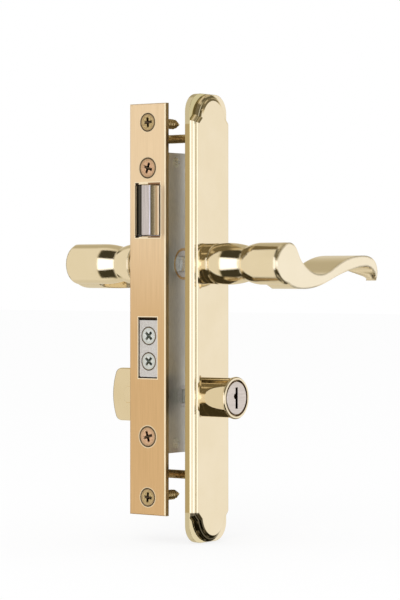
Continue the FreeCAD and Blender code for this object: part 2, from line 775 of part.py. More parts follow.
def make_deadbolt():
    sizes = ("bolt_screw_radius", "bolt_screw_shank", "bolt_recess")
    screws = [countersunk_screw(*sizes, "bolt_screw_length", at, turn=BOLT_TURN) for at in BOLT_SCREWS]
    node("deadbolt_screws", group(*screws, name="bolt_screws"))
    head = block(side("bolt_width / 2"), ("bolt_recess", "bolt_rear"), ("bolt_low", "bolt_top"), "bolt_block")
    holes = [countersunk_hole(*sizes, "bolt_rear + part_gap", at) for at in BOLT_SCREWS]
    node("deadbolt_head", cut(head, *holes, name="bolt_head"))
    slide = block(side("carriage_width / 2"), ("bolt_rear", "carriage_rear"),
                  ("carriage_low", "carriage_top"), "carriage_block")
    legs = [block(side("tongue_width / 2"), span, ("carriage_leg_low", "carriage_low"), "carriage_leg")
            for span in (("pin_y - pin_slot / 2 - carriage_leg_thick", "pin_y - pin_slot / 2"),
                         ("pin_y + pin_slot / 2", "pin_y + pin_slot / 2 + carriage_leg_thick"))]
    notch = rod("x", "detent_bump + part_gap", *side("carriage_width / 2 + part_gap"),
                ("detent_y", "carriage_top + part_gap"), "detent_notch")
    tapped = [rod("y", "bolt_screw_shank", "bolt_rear - part_gap", "bolt_recess + bolt_screw_length", at)
              for at in BOLT_SCREWS]
    node("deadbolt_carriage", cut(join(slide, *legs, name="carriage_solid"), notch, *tapped, name="carriage"))
    leaf_low = "carriage_top + part_gap"
    leaf = block(side("detent_width / 2"), ("detent_y - detent_bump", "inner_back"),
                 (leaf_low, leaf_low + " + detent_thick"), "detent_leaf")
    foot = block(side("detent_width / 2"), ("inner_back - detent_thick", "inner_back"),
                 (leaf_low, leaf_low + " + detent_width"), "detent_foot")
    bump = rod("x", "detent_bump", *side("detent_width / 2"), ("detent_y", leaf_low), "detent_nose")
    node("bolt_detent_spring", join(leaf, foot, bump, name="detent"))


def make_cam():
    hub_at = ("0", "0")
    arm = join(rod("x", "cam_arm_radius", "-cam_arm_outer", "-cam_arm_inner", ("0", "pin_reach")),
               block(("-cam_arm_outer", "-cam_arm_inner"), side("cam_arm_radius"), ("0", "pin_reach"),
                     "cam_arm"),
               rod("x", "pin_radius", "-cam_arm_inner", "cam_arm_inner", ("0", "pin_reach"), "cam_pin"),
               rod("x", "cam_hub_radius", *side("case_half"), hub_at, "cam_hub"),
               rod("x", "cam_ring_radius", "cam_arm_outer - case_wall", "inner_half - part_gap", hub_at),
               name="cam_solid")
    arm.Placement = Placement(Vector(), Rotation(Vector(1, 0, 0), -size("cam_rest")))
    bind(arm, Placement__Base__y="backset", Placement__Base__z="lock_axis")
    slot = block(side("case_half + part_gap"), about("backset", "tailpiece_thick / 2 + fit_gap"),
                 about("lock_axis", "tailpiece_width / 2 + fit_gap"), "cam_slot")
    node("bolt_cam", cut(arm, slot, name="cam"))
    node("tailpiece", block(("inside_front - turn_socket_end + part_gap", "cylinder_rear + pin_radius"),
                            about("backset", "tailpiece_thick / 2"),
                            about("lock_axis", "tailpiece_width / 2"), "tail_bar_flat"))


# plates

def tier_outline(inset, x):
    """The raised tier's outline: straight sides, 45 degree shoulders and an arch at each end."""
    middle, middle_z = size("backset"), size("plate_middle")
    half = size("plate_width") / 2 - inset
    reach = size("plate_top") - middle_z
    kink = reach - size("plate_kink") - inset * math.tan(math.pi / 8)
    across, rise = size("plate_arch_half") - inset, size("plate_arch_height") - inset
    foot = reach - size("plate_arch_height")
    near, far = 0.0, half
    for _ in range(50):
        step = (near + far) / 2
        outside = ((half - step) / across) ** 2 + ((kink + step - foot) / rise) ** 2 > 1
        near, far = (step, far) if outside and half - step > across * 0.5 else (near, step)
    step = (near + far) / 2
    edge_y, edge_z = half - step, kink + step
    turn = math.acos(max(-1.0, min(1.0, (edge_z - foot) / rise)))
    edges = []
    for way in (1, -1):
        centre = Vector(x, middle, middle_z + way * foot)
        oval = Part.Ellipse(centre + Vector(0, 0, way * rise), centre + Vector(0, way * across, 0), centre)
        arch = Part.ArcOfEllipse(oval, -turn, turn).toShape()
        start, end = arch.valueAt(arch.FirstParameter), arch.valueAt(arch.LastParameter)
        low = Vector(x, middle - way * half, middle_z + way * kink)
        high = Vector(x, middle + way * half, middle_z + way * kink)
        edges += [Part.LineSegment(low, start).toShape(), arch, Part.LineSegment(end, high).toShape(),
                  Part.LineSegment(high, Vector(x, middle + way * half, middle_z - way * kink)).toShape()]
    return Part.Wire(Part.__sortEdges__(edges))


def make_outside_plate():
    base = block(("door_outside", "door_outside + plate_base_thick"), about("backset", "plate_width / 2"),
                 ("plate_low", "plate_top"), "plate_base")
    base = rounded(base, "plate_corner", lambda edge: runs_along(edge, Vector(1, 0, 0)), "plate_base_ends")
    foot = size("door_outside") + size("plate_base_thick")
    groove = size("plate_groove_inset")
    height = size("door_outside") + size("plate_groove_height")
    step, front = size("plate_groove_step"), size("plate_front")
    run, climb = groove, height - foot
    lower = Part.makeLoft([tier_outline(groove - run * math.cos(math.pi * part / 8),
                                        foot + climb * math.sin(math.pi * part / 8))
                           for part in range(5)], True, True)
    wall = Part.makeLoft([tier_outline(groove, height), tier_outline(groove, height + step)], True, True)
    run, climb = size("plate_field_inset") - groove, front - height - step
    upper = Part.makeLoft([tier_outline(groove + run * (1 - math.cos(math.pi * part / 6)),
                                        height + step + climb * math.sin(math.pi * part / 6))
                           for part in range(4)], True, True)
    tiers = shaped(lower.fuse([wall, upper]), "plate_tiers")
    cavity = block(("door_outside - part_gap", "cavity_front"),
                   about("backset", "cavity_half"),
                   ("plate_low + plate_cavity_end", "plate_top - plate_cavity_end"), "plate_cavity")
    posts = [rod("x", "plate_post_radius", "door_outside - plate_post_length", "cavity_front",
                 ("backset", z), "post") for z in ("plate_bolt_top", "plate_bolt_low")]
    bores = [rod("x", "plate_bolt_radius", "door_outside - plate_post_length - part_gap",
                 "cavity_front - part_gap", ("backset", z)) for z in ("plate_bolt_top", "plate_bolt_low")]
    bush = rod("x", "lever_journal + run_gap + bush_wall", "door_outside", "plate_front + part_gap", HUB_AXIS)
    thread = rod("x", "thread_radius + run_gap", "door_outside", "plate_front + part_gap", LOCK_AXIS)
    shell = cut(join(base, tiers, name="plate_solid"), cavity, name="plate_shell")
    node("outside_plate", cut(join(shell, *posts, name="plate_with_posts"), bush, thread, *bores,
                              name="plate"))


def make_inside_plate():
    """The plain plate on the door's inside, a little shorter and narrower than the faceplate hides."""
    base = block(("inside_front", "-door_inside"), about("backset", "inside_plate_width / 2"),
                 ("faceplate_low + inside_plate_short", "faceplate_top - inside_plate_short"), "inside_blank")
    base = rounded(base, "inside_plate_corner", lambda edge: runs_along(edge, Vector(1, 0, 0)), "inside_ends")
    through = ("inside_front - part_gap", "-door_inside + part_gap")
    holes = [rod("x", "plate_bolt_radius + fit_gap", *through, ("backset", z))
             for z in ("plate_bolt_top", "plate_bolt_low")]
    holes.append(rod("x", "lever_journal + run_gap + bush_wall", *through, HUB_AXIS))
    holes.append(rod("x", "turn_stem_radius + run_gap", *through, LOCK_AXIS))
    plain = cut(base, *holes, name="inside_cut")
    front, middle, half = size("inside_front"), size("backset"), size("inside_plate_width") / 2
    ends = size("faceplate_top") - half, size("faceplate_low") + half

    def rim(edge):
        spot = edge.CenterOfMass
        outside = abs(spot.y - middle) > half - 1e-3 or spot.z > ends[0] or spot.z < ends[1]
        return abs(edge.BoundBox.XMax - front) < 1e-6 and edge.BoundBox.XLength < 1e-6 and outside
    node("inside_plate", rounded(plain, "faceplate_round", rim, "inside_edge"))


def make_plate_bolts():
    bolts = []
    for z in ("plate_bolt_top", "plate_bolt_low"):
        at = ("backset", z)
        head = join(rod("x", "plate_bolt_radius", "inside_front", "cavity_front - recess_depth", at),
                    rod("x", "plate_bolt_head", "inside_front - head_rim", "inside_front", at),
                    taper("x", "plate_bolt_head * 0.55", "plate_bolt_head",
                          "inside_front - plate_bolt_head_thick", "inside_front - head_rim", at),
                    name="plate_bolt")
        bolts.append(cut(head, cross_recess("x", "plate_bolt_head * 0.8",
                                            "inside_front - plate_bolt_head_thick", at)))
    node("plate_bolts", group(*bolts, name="bolts"))


# levers

def make_bearings():
    """The collar, bush and retaining ring of the outside lever, and their mirror images."""
    front = "plate_front"
    bush_hole = "lever_journal + run_gap"
    collar = ring("x", "collar_radius", bush_hole, front, front + " + collar_thick", HUB_AXIS, "collar_ring")
    outer = size("collar_radius")
    collar = rounded(collar, "collar_round", lambda edge: isinstance(edge.Curve, Part.Circle)
                     and abs(edge.Curve.Radius - outer) < 1e-6
                     and edge.CenterOfMass.x > size("plate_front") + 1, "collar")
    bush = ring("x", bush_hole + " + bush_wall", bush_hole, front + " - bush_length", front, HUB_AXIS, "bush")
    clip = ring("x", "lever_journal + bush_wall - fit_gap", "lever_journal - ring_groove",
                front + " - ring_back - ring_thick", front + " - ring_back", HUB_AXIS, "retaining_ring")
    node("outside_collar", collar)
    node("outside_bush", bush)
    node("outside_ring", clip)
    for label, thing in (("inside_collar", collar), ("inside_bush", bush), ("inside_ring", clip)):
        node(label, mirrored(thing, label + "_mirror"))


def mirrored(thing, name):
    """The same piece on the door's other side."""
    copy = doc.addObject("Part::Mirroring", name)
    copy.Source = thing
    copy.Normal = Vector(1, 0, 0)
    bind(copy, Base__x="mirror_middle")
    return copy


def lever_neck(neck_at, waist_at, head_at, foot_draw, bulge):
    """The round foot, neck, waist and head of a lever, turned about the spindle's axis."""
    front, journal = size("plate_front"), size("lever_journal")
    back = front - size("lever_journal_back")
    groove_far = front - size("ring_back")
    groove_near = groove_far - size("ring_thick")
    groove = journal - size("ring_groove")
    base, neck, neck_x = size("lever_base"), size("lever_neck"), front + neck_at
    waist_x, waist = front + waist_at, size("lever_waist")
    head_x, head = front + head_at, size("lever_head")
    nose_x, rim = front + size("lever_front"), size("lever_rim_round")

    def at(x, radius):
        return Vector(x, size("backset") + radius, 0)

    stem = [at(back, 0), at(back, journal), at(groove_near, journal), at(groove_near, groove),
            at(groove_far, groove), at(groove_far, journal), at(base, journal),
            at(base, neck - foot_draw)]
    edges = [Part.LineSegment(first, last).toShape() for first, last in zip(stem, stem[1:])]
    edges.append(Part.Arc(stem[-1], at(neck_x, neck), at(waist_x, waist)).toShape())
    flare = at((waist_x + head_x) / 2, (waist + head) / 2 + bulge)
    edges.append(Part.Arc(at(waist_x, waist), flare, at(head_x, head)).toShape())
    edges.append(Part.LineSegment(at(head_x, head), at(nose_x - rim, head)).toShape())
    bow = rim * math.sqrt(0.5)
    edges.append(Part.Arc(at(nose_x - rim, head), at(nose_x - rim + bow, head - rim + bow),
                          at(nose_x, head - rim)).toShape())
    edges.append(Part.LineSegment(at(nose_x, head - rim), at(nose_x, 0)).toShape())
    edges.append(Part.LineSegment(at(nose_x, 0), at(back, 0)).toShape())
    face = Part.Face(Part.Wire(edges))
    return face.revolve(Vector(0, size("backset"), 0), Vector(1, 0, 0), 360)


# the outline of the grip's flat front, as distances from the spindle towards the tip and upwards:
# round the head, down into the trough, over the crest and down to the tip, then back underneath
GRIP_TOP = [(-7.66, 0.0), (-6.1, 5.1), (-0.7, 9.9), (5.3, 8.1), (9.4, 2.4), (15.5, -2.2), (24.0, -5.0),
            (32.1, -4.4), (41.6, -0.5), (53.3, 3.2), (63.0, 4.2), (71.0, 3.3), (75.6, 0.3), (76.9, -3.2),
            (75.7, -8.2)]
GRIP_LOW = [(75.7, -8.2), (74.6, -4.3), (71.2, -1.9), (65.2, -1.2), (55.0, -2.5), (43.7, -5.1), (33.1, -8.5),
            (22.7, -11.2), (12.4, -12.1), (2.3, -10.7), (-4.9, -5.7), (-7.66, 0.0)]
# the grip's back edge as seen from above: shares of its width from the front, distances to the tip
GRIP_ROOT = [(0.62, 3.0), (0.74, 9.0), (0.91, 15.0), (1.0, 22.0)]
GRIP_TIP = [(1.0, 62.0), (0.97, 66.5), (0.88, 70.5), (0.74, 73.3), (0.54, 74.9), (0.28, 75.7), (-0.05, 77.4)]


def lever_grip():
    """The wave-shaped grip: a ribbon of the front's outline, its tip rounded as seen from above."""
    front, width = size("plate_front") + size("lever_front"), size("lever_grip_width")
    scale = size("lever_reach") / max(along for along, up in GRIP_TOP)
    middle = size("backset")

    def curve(points):
        line = Part.BSplineCurve()
        line.interpolate(points)
        return line.toShape()

    def outline(points):
        return curve([Vector(front, middle + along * scale, up) for along, up in points])

    def plan(points):
        return [Vector(front - share * width, middle + along * scale, -width) for share, along in points]

    ribbon = Part.Face(Part.Wire([outline(GRIP_TOP), outline(GRIP_LOW)])).extrude(Vector(-width, 0, 0))
    root, tip = plan(GRIP_ROOT), plan(GRIP_TIP)
    start = Vector(root[0].x, middle - width, -width)
    corner = Vector(tip[-1].x, middle - width, -width)
    edges = [Part.LineSegment(start, root[0]).toShape(), curve(root),
             Part.LineSegment(root[-1], tip[0]).toShape(), curve(tip),
             Part.LineSegment(tip[-1], corner).toShape(), Part.LineSegment(corner, start).toShape()]
    return ribbon.common(Part.Face(Part.Wire(edges)).extrude(Vector(0, 0, width * 2)))


def make_levers():
    """Both levers; the inside one has its waist nearer to the door."""
    neck = lever_neck(size("lever_neck_at"), size("lever_waist_at"), size("lever_head_at"),
                      size("lever_foot_draw"), size("lever_flare_bulge"))
    inner = lever_neck(size("inner_neck_at"), size("inner_waist_at"), size("inner_head_at"), 0,
                       size("inner_flare_bulge"))
    grip = lever_grip()
    at = ("plate_front + set_screw_at", "backset")
    square = block(("plate_front - lever_journal_back - part_gap", "plate_front + lever_socket_end"),
                   about("backset", "spindle_side / 2 + fit_gap"), side("spindle_side / 2 + fit_gap"),
                   "lever_socket")
    hole = rod("z", "set_screw_radius", "-lever_neck - part_gap", "-spindle_side / 2", at, "screw_hole")
    node("outside_lever", cut(shaped(neck.fuse(grip), "lever_solid"), square, hole, name="lever"))
    inside = cut(shaped(inner.fuse(grip), "inner_lever_solid"), square, hole, name="inner_lever")
    node("inside_lever", mirrored(inside, "lever_mirror"))
    screw = cut(rod("z", "set_screw_radius", "-lever_neck + fit_gap * 6", "-spindle_side / 2 - fit_gap", at),
                rod("z", "set_screw_radius / 2", "-lever_neck", "-lever_neck + recess_depth", at),
                name="set_screw")
    node("lever_set_screws", group(screw, mirrored(screw, "set_screw_mirror"), name="set_screws"))


# key cylinder

def keyway_shape(low, high, gap="0"):
    """The slot for the key, with its round bulge towards the door's edge."""
    half = "keyway_width / 2 + " + gap
    slot = block((low, high), about("backset", half), about("lock_axis", "keyway_height / 2"), "keyway_slot")
    at = ("backset - keyway_width / 2", "lock_axis + keyway_bulge_up")
    bulge = rod("x", "keyway_bulge + " + gap, low, high, at)
    return join(slot, bulge, name="keyway")


def make_cylinder():
    rim = rod("x", "rim_radius", "cylinder_front - rim_thick", "cylinder_front", LOCK_AXIS)
    rim = rounded(rim, "rim_round", lambda edge: isinstance(edge.Curve, Part.Circle), "rim")
    barrel = join(rod("x", "barrel_radius", "plate_front", "cylinder_front - rim_thick", LOCK_AXIS), rim,
                  rod("x", "thread_radius", "cylinder_rear", "plate_front", LOCK_AXIS), name="barrel")
    plug_shoulder = "cylinder_front - rim_face_sink - plug_head_thick"
    bore = join(rod("x", "plug_radius + run_gap", "cylinder_rear - part_gap", "cylinder_front", LOCK_AXIS),
                rod("x", "plug_head_radius + run_gap", plug_shoulder, "cylinder_front", LOCK_AXIS),
                rod("x", "rim_face_radius", "cylinder_front - rim_face_sink", "cylinder_front + part_gap",
                    LOCK_AXIS), name="cylinder_bore")
    node("cylinder_housing", cut(barrel, bore, name="housing"))
    nut = ring("x", "nut_radius", "thread_radius", "cavity_front - nut_thick", "cavity_front", LOCK_AXIS,
               "nut_ring")
    notches = [block(("cavity_front - nut_thick - part_gap", "cavity_front - nut_thick / 2"), span,
                     about("lock_axis", "keyway_width"), "nut_notch")
               for span in (("backset - nut_radius - part_gap", "backset - thread_radius - part_gap"),
                            ("backset + thread_radius + part_gap", "backset + nut_radius + part_gap"))]
    node("cylinder_nut", cut(nut, *notches, name="nut"))


def make_plug():
    face = "cylinder_front - fit_gap"
    shoulder = "cylinder_front - rim_face_sink - plug_head_thick + part_gap"
    rear = "cylinder_rear - clip_thick * 2 - part_gap"
    clip_high = "cylinder_rear - part_gap"
    head = rod("x", "plug_head_radius", shoulder, face, LOCK_AXIS)
    head = rounded(head, "plug_round", lambda edge: isinstance(edge.Curve, Part.Circle) and
                   edge.CenterOfMass.x > size("cylinder_front") - 0.5, "plug_head")
    solid = join(head, rod("x", "plug_radius", rear, shoulder, LOCK_AXIS), name="plug_solid")
    slots, wafers = [], []
    for number in range(int(size("wafer_count"))):
        high = "cylinder_front - rim_face_sink - plug_head_thick - %d * wafer_pitch - part_gap" % number
        low = high + " - wafer_thick"
        slots.append(block((low + " - fit_gap", high + " + fit_gap"),
                           about("backset", "wafer_width / 2 + fit_gap"),
                           about("lock_axis", "wafer_height / 2 + fit_gap"), "wafer_slot"))
        window = block((low + " - part_gap", high + " + part_gap"),
                       about("backset", "keyway_width / 2 + keyway_bulge - fit_gap * 4"),
                       about("lock_axis", "wafer_window"), "wafer_window_block")
        wafers.append(cut(block((low, high), about("backset", "wafer_width / 2"),
                                about("lock_axis", "wafer_height / 2"), "wafer_block"), window, name="wafer"))
    groove = ring("x", "plug_radius + part_gap", "plug_radius - ring_groove", clip_high + " - clip_thick",
                  clip_high, LOCK_AXIS, "clip_groove")
    slot = block((rear + " - part_gap", "cylinder_rear + pin_radius + part_gap"),
                 about("backset", "tailpiece_thick / 2 + fit_gap"),
                 about("lock_axis", "tailpiece_width / 2 + fit_gap"), "plug_tail_slot")
    node("key_plug", cut(solid, keyway_shape("cylinder_front - keyway_depth", "cylinder_front"), groove, slot,
                         *slots, name="plug"))
    node("wafers", group(*wafers, name="wafer_stack"))
    node("plug_clip", ring("x", "plug_radius + ring_groove", "plug_radius - ring_groove",
                           clip_high + " - clip_thick", clip_high, LOCK_AXIS, "clip"))


# thumbturn

def turn_paddle():
    """The grip of the thumbturn: a plate with a bowed end, all its edges rounded."""
    front, back = size("turn_front"), size("inside_front") - size("turn_collar_thick") - size("part_gap")
    half, thick, bowed = size("turn_height") / 2, size("turn_thick"), size("turn_front") + size("turn_bulge")

    def at(x, up):
        return Vector(x, size("backset") - thick / 2, size("lock_axis") + up)

    bow = Part.Arc(at(bowed, half), at(front, 0), at(bowed, -half)).toShape()
    edges = [Part.LineSegment(at(back, half), at(bowed, half)).toShape(), bow,
             Part.LineSegment(at(bowed, -half), at(back, -half)).toShape(),
             Part.LineSegment(at(back, -half), at(back, half)).toShape()]
    blank = Part.Face(Part.Wire(edges)).extrude(Vector(0, thick, 0))
    corners = [edge for edge in blank.Edges if runs_along(edge, Vector(0, 1, 0))]
    blank = blank.makeFillet(size("turn_corner"), corners)
    rims = [edge for edge in blank.Edges if not runs_along(edge, Vector(0, 1, 0))]
    return blank.makeFillet(size("turn_edge_round"), rims)


def make_thumbturn():
    node("thumbturn_collar", rounded(
        ring("x", "turn_collar_radius", "turn_stem_radius + run_gap", "inside_front - turn_collar_thick",
             "inside_front", LOCK_AXIS, "turn_ring"), "collar_round",
        lambda edge: isinstance(edge.Curve, Part.Circle) and
        abs(edge.Curve.Radius - size("turn_collar_radius")) < 1e-6 and
        edge.CenterOfMass.x < size("inside_front") - 1, "turn_collar"))
    stem = rod("x", "turn_stem_radius", "turn_front + turn_stem_in", "-door_inside + pin_radius", LOCK_AXIS,
               "turn_stem")
    slot = block(("inside_front - turn_socket_end", "-door_inside + pin_radius + part_gap"),
                 about("backset", "tailpiece_thick / 2 + fit_gap"),
                 about("lock_axis", "tailpiece_width / 2 + fit_gap"), "turn_slot")
    at = ("inside_front - turn_screw_at", "lock_axis")
    hole = rod("y", "turn_screw_radius", "backset", "backset + turn_stem_radius + part_gap", at,
               "turn_screw_hole")
    solid = join(shaped(turn_paddle(), "paddle"), stem, name="turn_solid")
    node("thumbturn", cut(solid, slot, hole, name="turn"))
    node("thumbturn_screw", cut(
        rod("y", "turn_screw_radius", "backset + tailpiece_thick / 2 + fit_gap",
            "backset + turn_thick / 2 - fit_gap", at),
        rod("y", "turn_screw_radius / 2", "backset + turn_thick / 2 - 1", "backset + turn_thick / 2", at),
        name="turn_grub"))


for make in (make_faceplate, make_faceplate_screws, make_case, make_latch_head, make_latch_train, make_hub,
             make_deadbolt, make_cam, make_outside_plate, make_inside_plate, make_plate_bolts, make_bearings,
             make_levers, make_cylinder, make_plug, make_thumbturn):
    make()
doc.recompute()

for thing in doc.Objects:
    if "Invalid" in thing.State or "Error" in thing.State:
        raise ValueError("%s (%s) failed: %s" % (thing.Name, thing.Label, thing.State))
for label, thing in NODES.items():
    shape = thing.Shape
    if shape.isNull() or not shape.isValid() or not shape.Solids:
        raise ValueError(label + " has no valid solid")
    print("%-24s %2d solid, %9.1f mm3" % (label, len(shape.Solids), shape.Volume))
for label, thing in NODES.items():
    thing.Shape.exportStep("parts/%s.step" % label)
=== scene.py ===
import json
import math
import bmesh
import bpy
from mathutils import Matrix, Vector


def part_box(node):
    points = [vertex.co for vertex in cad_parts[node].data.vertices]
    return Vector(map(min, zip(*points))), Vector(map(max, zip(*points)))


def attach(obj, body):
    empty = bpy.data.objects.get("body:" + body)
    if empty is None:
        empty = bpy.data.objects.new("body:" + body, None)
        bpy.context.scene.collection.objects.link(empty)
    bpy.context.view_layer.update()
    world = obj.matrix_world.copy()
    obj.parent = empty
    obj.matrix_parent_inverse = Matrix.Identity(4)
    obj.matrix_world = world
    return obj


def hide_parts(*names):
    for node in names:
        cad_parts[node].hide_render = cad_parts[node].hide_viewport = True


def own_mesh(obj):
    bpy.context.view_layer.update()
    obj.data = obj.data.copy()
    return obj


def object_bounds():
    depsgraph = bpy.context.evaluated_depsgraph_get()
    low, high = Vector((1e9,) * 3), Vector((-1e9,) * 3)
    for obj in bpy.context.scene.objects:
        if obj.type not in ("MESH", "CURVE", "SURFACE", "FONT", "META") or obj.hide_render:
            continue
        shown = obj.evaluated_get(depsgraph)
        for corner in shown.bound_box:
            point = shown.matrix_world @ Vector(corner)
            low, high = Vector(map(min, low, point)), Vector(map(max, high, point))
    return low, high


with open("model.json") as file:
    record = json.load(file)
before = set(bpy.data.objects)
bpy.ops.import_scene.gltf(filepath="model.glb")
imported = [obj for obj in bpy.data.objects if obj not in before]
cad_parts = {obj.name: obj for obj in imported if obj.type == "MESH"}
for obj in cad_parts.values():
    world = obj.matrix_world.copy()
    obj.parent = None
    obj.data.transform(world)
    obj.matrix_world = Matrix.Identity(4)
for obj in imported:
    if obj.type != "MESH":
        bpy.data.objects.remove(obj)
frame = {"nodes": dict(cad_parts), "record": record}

# Narrow mortise latch: satin brass faceplate, polished brass plates, levers and cylinder.
# Everything is in metres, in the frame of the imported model: +X from the inside lever to the outside one,
# +Y from the faceplate back into the mortise and +Z up.

cad_low, cad_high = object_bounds()
SLOT_OF = {part["node"]: part["material_slot"] for part in frame["record"]["subparts"]}
WHITE = (1.0, 1.0, 1.0)


# node helpers

def feed(tree, socket, value):
    """Gives a socket another node's output, a colour, a vector or a number."""
    if hasattr(value, "is_output"):
        tree.links.new(value, socket)
    elif socket.type == "RGBA":
        socket.default_value = (*value, 1.0)
    else:
        socket.default_value = value


def add(tree, kind, sockets=None, **settings):
    """A new node, with what goes into its sockets and its settings."""
    node = tree.nodes.new(kind)
    for name, value in settings.items():
        setattr(node, name, value)
    for name, value in (sockets or {}).items():
        feed(tree, node.inputs[name], value)
    return node


def math_node(tree, operation, *values):
    """One step of arithmetic on outputs or plain numbers."""
    return add(tree, "ShaderNodeMath", dict(enumerate(values)), operation=operation).outputs[0]


def product(tree, *values):
    total = values[0]
    for value in values[1:]:
        total = math_node(tree, "MULTIPLY", total, value)
    return total


# the sockets of a mix node for its share and for what it mixes, and its output
MIX_SOCKETS = {"RGBA": ((0, 6, 7), 2), "FLOAT": ((0, 2, 3), 0)}


def mixed(tree, share, first, second, kind="RGBA", **settings):
    """The first of two colours or numbers where the share is 0, and the second where it is 1."""
    sockets, result = MIX_SOCKETS[kind]
    blend = add(tree, "ShaderNodeMix", data_type=kind, **settings)
    for socket, value in zip(sockets, (share, first, second)):
        feed(tree, blend.inputs[socket], value)
    return blend.outputs[result]


def blended(tree, share, first, second):
    """The first of two shaders where the share is 0, and the second where it is 1."""
    return add(tree, "ShaderNodeMixShader", {0: share, 1: first, 2: second}).outputs[0]


def coordinates(tree, axes, output="Object"):
    """A point's coordinates along the named axes."""
    where = add(tree, "ShaderNodeTexCoord").outputs[output]
    parts = add(tree, "ShaderNodeSeparateXYZ", {"Vector": where}).outputs
    return [parts[axis] for axis in axes]


def from_axis(tree, first, second, first_at, second_at):
    """The distance from a line along one axis, in the plane of the other two."""
    one = math_node(tree, "SUBTRACT", first, first_at)
    other = math_node(tree, "SUBTRACT", second, second_at)
    squares = math_node(tree, "ADD", product(tree, one, one), product(tree, other, other))
    return math_node(tree, "SQRT", squares)


# soft edges: each is a value, the place along it where the edge counts 0, and where it counts 1

def rise(value, at, soft):
    """An edge that is passed where the value rises past a place."""
    return value, at - soft, at + soft


def fall(value, at, soft):
    """An edge that is passed where the value falls below a place."""
    return value, at + soft, at - soft


def between(value, low, high, soft):
    return rise(value, low, soft), fall(value, high, soft)


def passed(tree, *edges):
    """1 where all the edges are passed, and 0 where one isn't."""
    shares = []
    for value, clear, full in edges:
        sockets = {"Value": value, "From Min": clear, "From Max": full}
        step = add(tree, "ShaderNodeMapRange", sockets, interpolation_type="SMOOTHSTEP")
        shares.append(step.outputs["Result"])
    return product(tree, *shares)


def laid(tree, colour, shade, *edges):
    """A shade laid over a colour where all the edges are passed."""
    return mixed(tree, passed(tree, *edges), colour, shade)


# metals

# the values between which most of a noise lies
NOISE_LOW, NOISE_HIGH = 0.35, 0.65
FINE_DETAIL, SLOW_DETAIL = 3.0, 2.0
GRAIN_DEPTH, EDGE_SAMPLES = 0.00002, 4
# how the grain lies: even, brushed upright in short, long or longest strokes, or brushed across
EVEN, ACROSS = (1, 1, 1), (1, 0.05, 1)
UPRIGHT_SHORT, UPRIGHT, UPRIGHT_LONGEST = (1, 1, 0.25), (1, 1, 0.05), (1, 1, 0.03)


def noise(tree, stretch, scale, detail):
    """A noise over the piece, drawn out along the axes where its stretch is small."""
    where = add(tree, "ShaderNodeTexCoord").outputs["Object"]
    drawn = add(tree, "ShaderNodeMapping", {"Vector": where, "Scale": stretch}).outputs["Vector"]
    grain = add(tree, "ShaderNodeTexNoise", {"Vector": drawn, "Scale": scale, "Detail": detail})
    return grain.outputs["Fac"]


def spread(tree, value, low, high):
    """The usual values of a noise, spread from low to high."""
    sockets = {"Value": value, "From Min": NOISE_LOW, "From Max": NOISE_HIGH, "To Min": low, "To Max": high}
    return add(tree, "ShaderNodeMapRange", sockets).outputs["Result"]


def metal(name, light, deep, rough, rough_spread, stretch=EVEN, grain=900.0, bump=0.02, anisotropy=0.0,
          clouds=25.0, edge=0.0002, tone=None):
    """A metal with a fine grain in its colour and height, a slow change of gloss and softened edges."""
    material = bpy.data.materials.new(name)
    material.use_nodes = True
    tree = material.node_tree
    fine = noise(tree, stretch, grain, FINE_DETAIL)
    slow = noise(tree, EVEN, clouds, SLOW_DETAIL)
    colour = mixed(tree, spread(tree, fine, 0.0, 1.0), deep, light)
    if tone:
        colour = tone(tree, colour)
    corner = add(tree, "ShaderNodeBevel", {"Radius": edge}, samples=EDGE_SAMPLES).outputs["Normal"]
    relief = {"Strength": bump, "Distance": GRAIN_DEPTH, "Height": fine, "Normal": corner}
    look = {
        "Metallic": 1.0,
        "Anisotropic": anisotropy,
        "Base Color": colour,
        "Roughness": spread(tree, slow, rough - rough_spread, rough + rough_spread),
        "Normal": add(tree, "ShaderNodeBump", relief).outputs["Normal"],
    }
    for socket, value in look.items():
        feed(tree, tree.nodes["Principled BSDF"].inputs[socket], value)
    return material


# tones that change over a piece, most of them painted shade, painted highlights and painted reflections

# painted shade in the gaps round the bolts: dark, and brown beside the latch's flank
DARK_GAP_SHADE, BROWN_GAP_SHADE = (0.05, 0.032, 0.018), (0.30, 0.17, 0.09)
# how far a gap reaches past its bolt: at its sides, and below and above each bolt
GAP_ASIDE = 0.0002
GAPS = {"deadbolt_head": (0.0005, 0.0014), "latch_head": (0.0002, 0.0005)}
# half the width of a soft edge: of a line, of a border, and of a ring as a share of its screw's radius
LINE_SOFT, BORDER_SOFT, RING_SOFT = 0.00008, 0.00005, 0.025


def screw_places(node):
    """The radius of a pair of screws' heads and the heights of their axes."""
    box_low, box_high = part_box(node)
    radius = (box_high[0] - box_low[0]) / 2
    return radius, (box_low[2] + radius, box_high[2] - radius)


def ringed(tree, colour, node, start, end, shade):
    """A shade over the colour between two shares of the heads' radius, round each screw of a pair."""
    radius, heights = screw_places(node)
    x, z = coordinates(tree, "XZ")
    for height in heights:
        out = from_axis(tree, x, z, 0.0, height)
        ring = between(out, radius * start, radius * end, radius * RING_SOFT)
        colour = laid(tree, colour, shade, *ring)
    return colour


def bordered(tree, colour, x, z, sides, out, shade):
    """A shade over the colour within a rectangle on the faceplate, drawn some way outside its sides."""
    left, right, low, high = sides
    across = between(x, left - out, right + out, BORDER_SOFT)
    upwards = between(z, low - out, high + out, BORDER_SOFT)
    return laid(tree, colour, shade, *across, *upwards)


def latch_gap(tree, x, plain):
    """Painted shade in the latch's gap: dark beside its slope, none beside its tip and brown beside its
    flank.
    """
    slope_width, flank_width, soft = 0.0019, 0.0072, 0.0003
    latch_low, latch_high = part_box("latch_head")
    shade = laid(tree, DARK_GAP_SHADE, plain, rise(x, latch_low[0] + slope_width, soft))
    return laid(tree, shade, BROWN_GAP_SHADE, rise(x, latch_high[0] - flank_width, soft))


